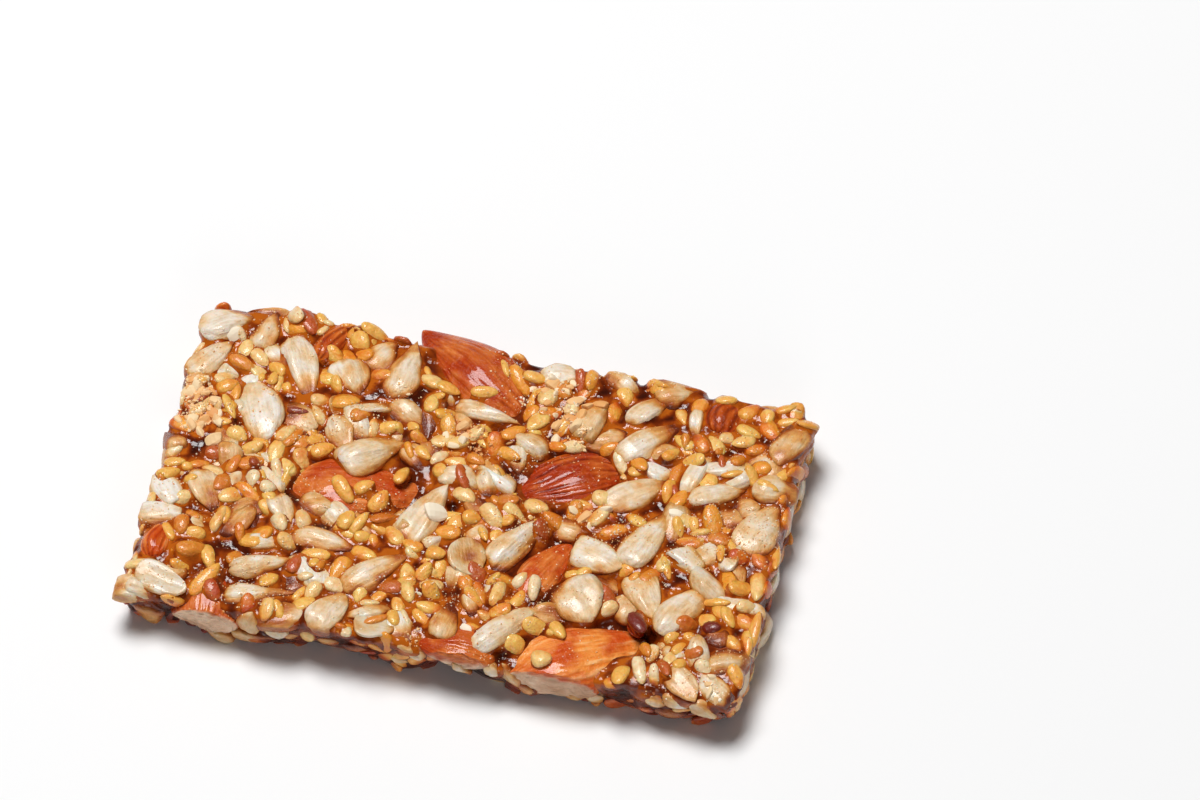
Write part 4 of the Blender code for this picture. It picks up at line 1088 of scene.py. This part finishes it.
# How far each point is from the nearest seed, taken as an ellipsoid, and from the outside.
thickness_over = np.full(len(place), THICKEST)
for centre, axes, size in all_placed:
    near = np.flatnonzero(np.abs(place - centre).max(axis=1) < size[0] / 2 + THICKEST)
    own = (place[near] - centre) @ axes / (size / 2)
    reach = np.linalg.norm(own, axis=1)
    slope = np.linalg.norm(own / (size / 2), axis=1)
    gap = reach * (reach - 1) / np.maximum(slope, 1e-6)
    thickness_over[near] = np.minimum(thickness_over[near], np.maximum(gap, 0))
edge = np.minimum(LENGTH / 2 - np.abs(place[:, 0]), WIDTH / 2 - np.abs(place[:, 1]))
out = np.minimum(np.minimum(THICKNESS - place[:, 2], edge + 1.1), place[:, 2] + 1.1)
# Darker with the caramel's thickness over a seed, and with its distance from the outside, which is painted
# shade: deep gaps and the sides come out darker.
depth = 0.62 * thickness_over / 1.5 + 0.38 * np.clip((out - 0.7) / 2.6, 0, 1)
# Paler towards the edges of the top: a painted glow, as of light shining through the thin edge.
depth *= 1 - 0.35 * np.clip(1 - edge / 4, 0, 1) * np.clip((place[:, 2] - 4.5) / 2, 0, 1)
layer = mesh.attributes.new("depth", "FLOAT", "POINT")
layer.data.foreach_set("value", np.clip(depth, 0, 1).astype(np.float32))
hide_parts("bar")
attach(caramel_piece, "root")


# Crumbs. Dust and grains of kernel and nut that fell on the sticky top when the bar was cut.
CRUMBS = 4200
# Crumbly heaps: x, y, reach, grains, tone.
CLUSTERS = (
    (-38.2, 9.6, 2.2, 220, .3), (-37, 5.8, 2.6, 320, .4), (-3, 10.2, 2.4, 110, .6),
    (-.4, 8.2, 1.6, 50, .8), (9.2, 15.6, 2.6, 90, .3), (7.4, 19.6, 2.4, 70, .3),
    (11.6, 12.6, 1.8, 50, .4), (14.7, .9, 1.6, 40, .6), (-2, -21.9, 1.5, 40, .5), (3, 16.9, 1.3, 36, 0),
    (37, -22.6, 1.4, 30, 0), (28.4, -17.6, 2, 40, .4), (-12.6, 14.6, 1.4, 30, .4),
    (-29, 11.2, 1.6, 40, .7),
)
# Flat chips of kernel that lie alone: x, y, length, width, thickness, turn.
FLAKES = (
    (-3.6, -3.4, 3.1, 2.5, .9, 20), (-35.4, 18.6, 2.2, 1.8, .8, 50), (4.2, -19.6, 1.6, 1.2, .7, -20),
    (26, 3.6, 1.8, 1.2, .7, 10),
)
# Heaps of crushed kernel: x, y, reach, number of shards.
SHARD_HEAPS = (
    (9.2, 15.6, 3.6, 16), (7, 19.8, 2.8, 9), (-37.8, 9, 2.6, 12), (-36.9, 4, 2.6, 13), (-3, 10.2, 2.6, 7),
    (14.7, .9, 1.8, 4), (36.6, -22, 1.8, 5),
)
SHARD_GRID = (12, 8)
GRAIN_GRID = (5, 3)
# Below this height a grain has missed the bar's top face.
LOWEST_LANDING = 5
crumb_rng = np.random.default_rng(90)
t, angle, grain_faces = seed_grid(*GRAIN_GRID)
girth = teardrop(t, 0.5, 0.0) / 2
grain_unit = np.column_stack([t - 0.5, girth * np.cos(angle), girth * np.sin(angle)])


def crumb_material():
    """Dry crumbs of nut and kernel: pale, matt and a little yellow."""
    material, tree, shader, tone = new_material("nut_crumbs_dry", "tone")
    colour = colour_ramp(tree, tone, {0.0: "#FFF4DE", 0.4: "#FADCAC", 0.8: "#EEB06A", 1.0: "#D88844"})
    wire(tree, shader, {"Base Color": colour}, Roughness=0.6)
    return material


graph = bpy.context.evaluated_depsgraph_get()
shown = [o for o in bpy.context.scene.objects if o.type == "MESH" and not o.hide_render]
trees = [BVHTree.FromObject(o, graph) for o in shown]


def landing(x, y):
    """Where a grain dropped on the top face comes to rest, in mm, and the way out there, or None."""
    hits = [tree.ray_cast(Vector((x, y, 15)) * MM, Vector((0, 0, -1))) for tree in trees]
    hits = [hit for hit in hits if hit[0] is not None]
    if not hits:
        return None
    place, out = max(hits, key=lambda hit: hit[0].z)[:2]
    return (np.array(place) / MM, out) if place.z / MM >= LOWEST_LANDING else None


def drop_grain(x, y, size, tone, sunk):
    """Puts one grain of a size on the seeds, a part of it sunk into the caramel."""
    found = landing(x, y)
    if found is None:
        return
    place, out = found
    sizes = size * crumb_rng.uniform(0.45, 1.3, 3)
    rough = 1 + crumb_rng.uniform(-0.4, 0.3, (len(grain_unit), 1))
    points = (grain_unit * rough * sizes) @ turned(*crumb_rng.uniform(0, 360, 3)).T
    place = place + np.array(out) * size * (0.35 - sunk)
    crumbs.add(points + place, grain_faces, tone=tone)


def lay_shard(x, y, sizes, tumble, tone):
    """Puts a flat shard of kernel on the seeds, leaning as they do where it lies."""
    found = landing(x, y)
    if found is None:
        return
    place, out = found
    lean = np.array(Vector((0, 0, 1)).rotation_difference(out).to_matrix())
    unit, faces = shard_forms[len(crumbs.points) % 9]
    crumbs.add((unit * sizes) @ (lean @ tumble).T + place - 0.1 * np.array(out), faces, tone=tone)


shard_forms = [kernel_form("broken", 1000 + k, SHARD_GRID)[:2] for k in range(9)]
crumbs = Heap()
# Dust lies in drifts: of four times as many places, those where a smooth field is highest.
tried = 4 * CRUMBS
plan_x = crumb_rng.uniform(-LENGTH / 2, LENGTH / 2, tried)
plan_y = crumb_rng.uniform(-WIDTH / 2, WIDTH / 2, tried)
dusty = ripple(np.column_stack([plan_x, plan_y, np.zeros(tried)]), 33, 16, 0.04, 0.16)
dusty = dusty + crumb_rng.normal(0, 0.7, tried)
for k in np.argsort(-dusty)[:CRUMBS]:
    drop_grain(plan_x[k], plan_y[k], crumb_rng.uniform(0.1, 0.28), crumb_rng.random(), 0.25)
for x, y, reach, count, tone in CLUSTERS:
    for _ in range(count):
        u, v = crumb_rng.normal(0, reach / 2, 2)
        size = 0.14 + 0.6 * crumb_rng.random() ** 3
        drop_grain(x + u, y + v, size, tone + crumb_rng.uniform(-0.2, 0.4), 0.45)
for x, y, long, wide, thin, turn in FLAKES:
    lay_shard(x, y, (long, wide, thin), turned(turn), 0.08)
for x, y, reach, count in SHARD_HEAPS:
    for _ in range(count):
        u, v = crumb_rng.normal(0, reach / 2, 2)
        long = crumb_rng.uniform(1.0, 2.4)
        sizes = long * np.array([1, crumb_rng.uniform(0.5, 0.9), crumb_rng.uniform(0.3, 0.6)])
        tumble = turned(crumb_rng.uniform(0, 360), *crumb_rng.normal(0, 20, 2))
        lay_shard(x + u, y + v, sizes, tumble, crumb_rng.uniform(0.2, 0.9))
crumb_piece = crumbs.piece("nut_crumbs", crumb_material())
crumb_piece.data.shade_flat()
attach(crumb_piece, "root")


# The table and the lamps. A white board lies under a large soft lamp, high above it and a little
# behind and to the left, with a weak fill from the front.
FLOOR_HALF = 900
KEY_LAMP = ("key", (-260, 220, 1160), 520, 14.9)
FILL_LAMP = ("fill", (420, -1100, 420), 500, 2.0)
ROOM_LIGHT = 0.085


def floor_material():
    """Plain matt white board."""
    material, tree, shader = new_material("white_board")
    wire(tree, shader, Base_Color=linear("#F6F6F6"), Roughness=0.7)
    return material


corners = FLOOR_HALF * np.array([[-1, -1, 0], [1, -1, 0], [1, 1, 0], [-1, 1, 0]])
floor = new_piece("floor", corners, [[0, 1, 2, 3]], floor_material())

world = bpy.data.worlds.new("studio")
bpy.context.scene.world = world
world.use_nodes = True
background = world.node_tree.nodes["Background"]
wire(world.node_tree, background, Color=(1, 1, 1, 1), Strength=ROOM_LIGHT)


def lamp(name, place, size, power):
    """A square soft lamp at a place in mm, aimed at the middle of the bar."""
    data = bpy.data.lights.new(name, "AREA")
    data.size = size * MM
    data.energy = power
    obj = bpy.data.objects.new(name, data)
    obj.location = Vector(place) * MM
    obj.rotation_euler = (-obj.location).to_track_quat("-Z", "Y").to_euler()
    bpy.context.scene.collection.objects.link(obj)


lamp(*KEY_LAMP)
lamp(*FILL_LAMP)


# The camera stands 53 degrees above the horizon and 13 degrees to the right, with a long lens.
CAMERA_TURN = math.radians(13.1)
CAMERA_RISE = math.radians(53.2)
PIXELS_PER_MM = 7.89
TOP_CENTRE_PIXEL = (470, 497)
FRAME_PIXELS = (1200, 800)
LENS = 400.0
SENSOR = 36.0
FARTHEST = 10.0
camera_data = bpy.data.cameras.new("camera")
camera_data.lens = LENS
camera_data.sensor_width = SENSOR
right = Vector((math.cos(CAMERA_TURN), math.sin(CAMERA_TURN), 0))
away = Vector((
    math.sin(CAMERA_TURN) * math.cos(CAMERA_RISE),
    -math.cos(CAMERA_TURN) * math.cos(CAMERA_RISE),
    math.sin(CAMERA_RISE),
))
up = away.cross(right)
aim = Vector((0, 0, THICKNESS))
aim += right * (FRAME_PIXELS[0] / 2 - TOP_CENTRE_PIXEL[0]) / PIXELS_PER_MM
aim += up * (TOP_CENTRE_PIXEL[1] - FRAME_PIXELS[1] / 2) / PIXELS_PER_MM
distance = FRAME_PIXELS[0] / PIXELS_PER_MM * LENS / SENSOR
camera_data.clip_end = FARTHEST
camera = bpy.data.objects.new("camera", camera_data)
camera.location = (aim + away * distance) * MM
camera.rotation_euler = Matrix((right, up, away)).transposed().to_euler()
bpy.context.scene.collection.objects.link(camera)
bpy.context.scene.camera = camera
bpy.context.scene.view_settings.view_transform = "Standard"
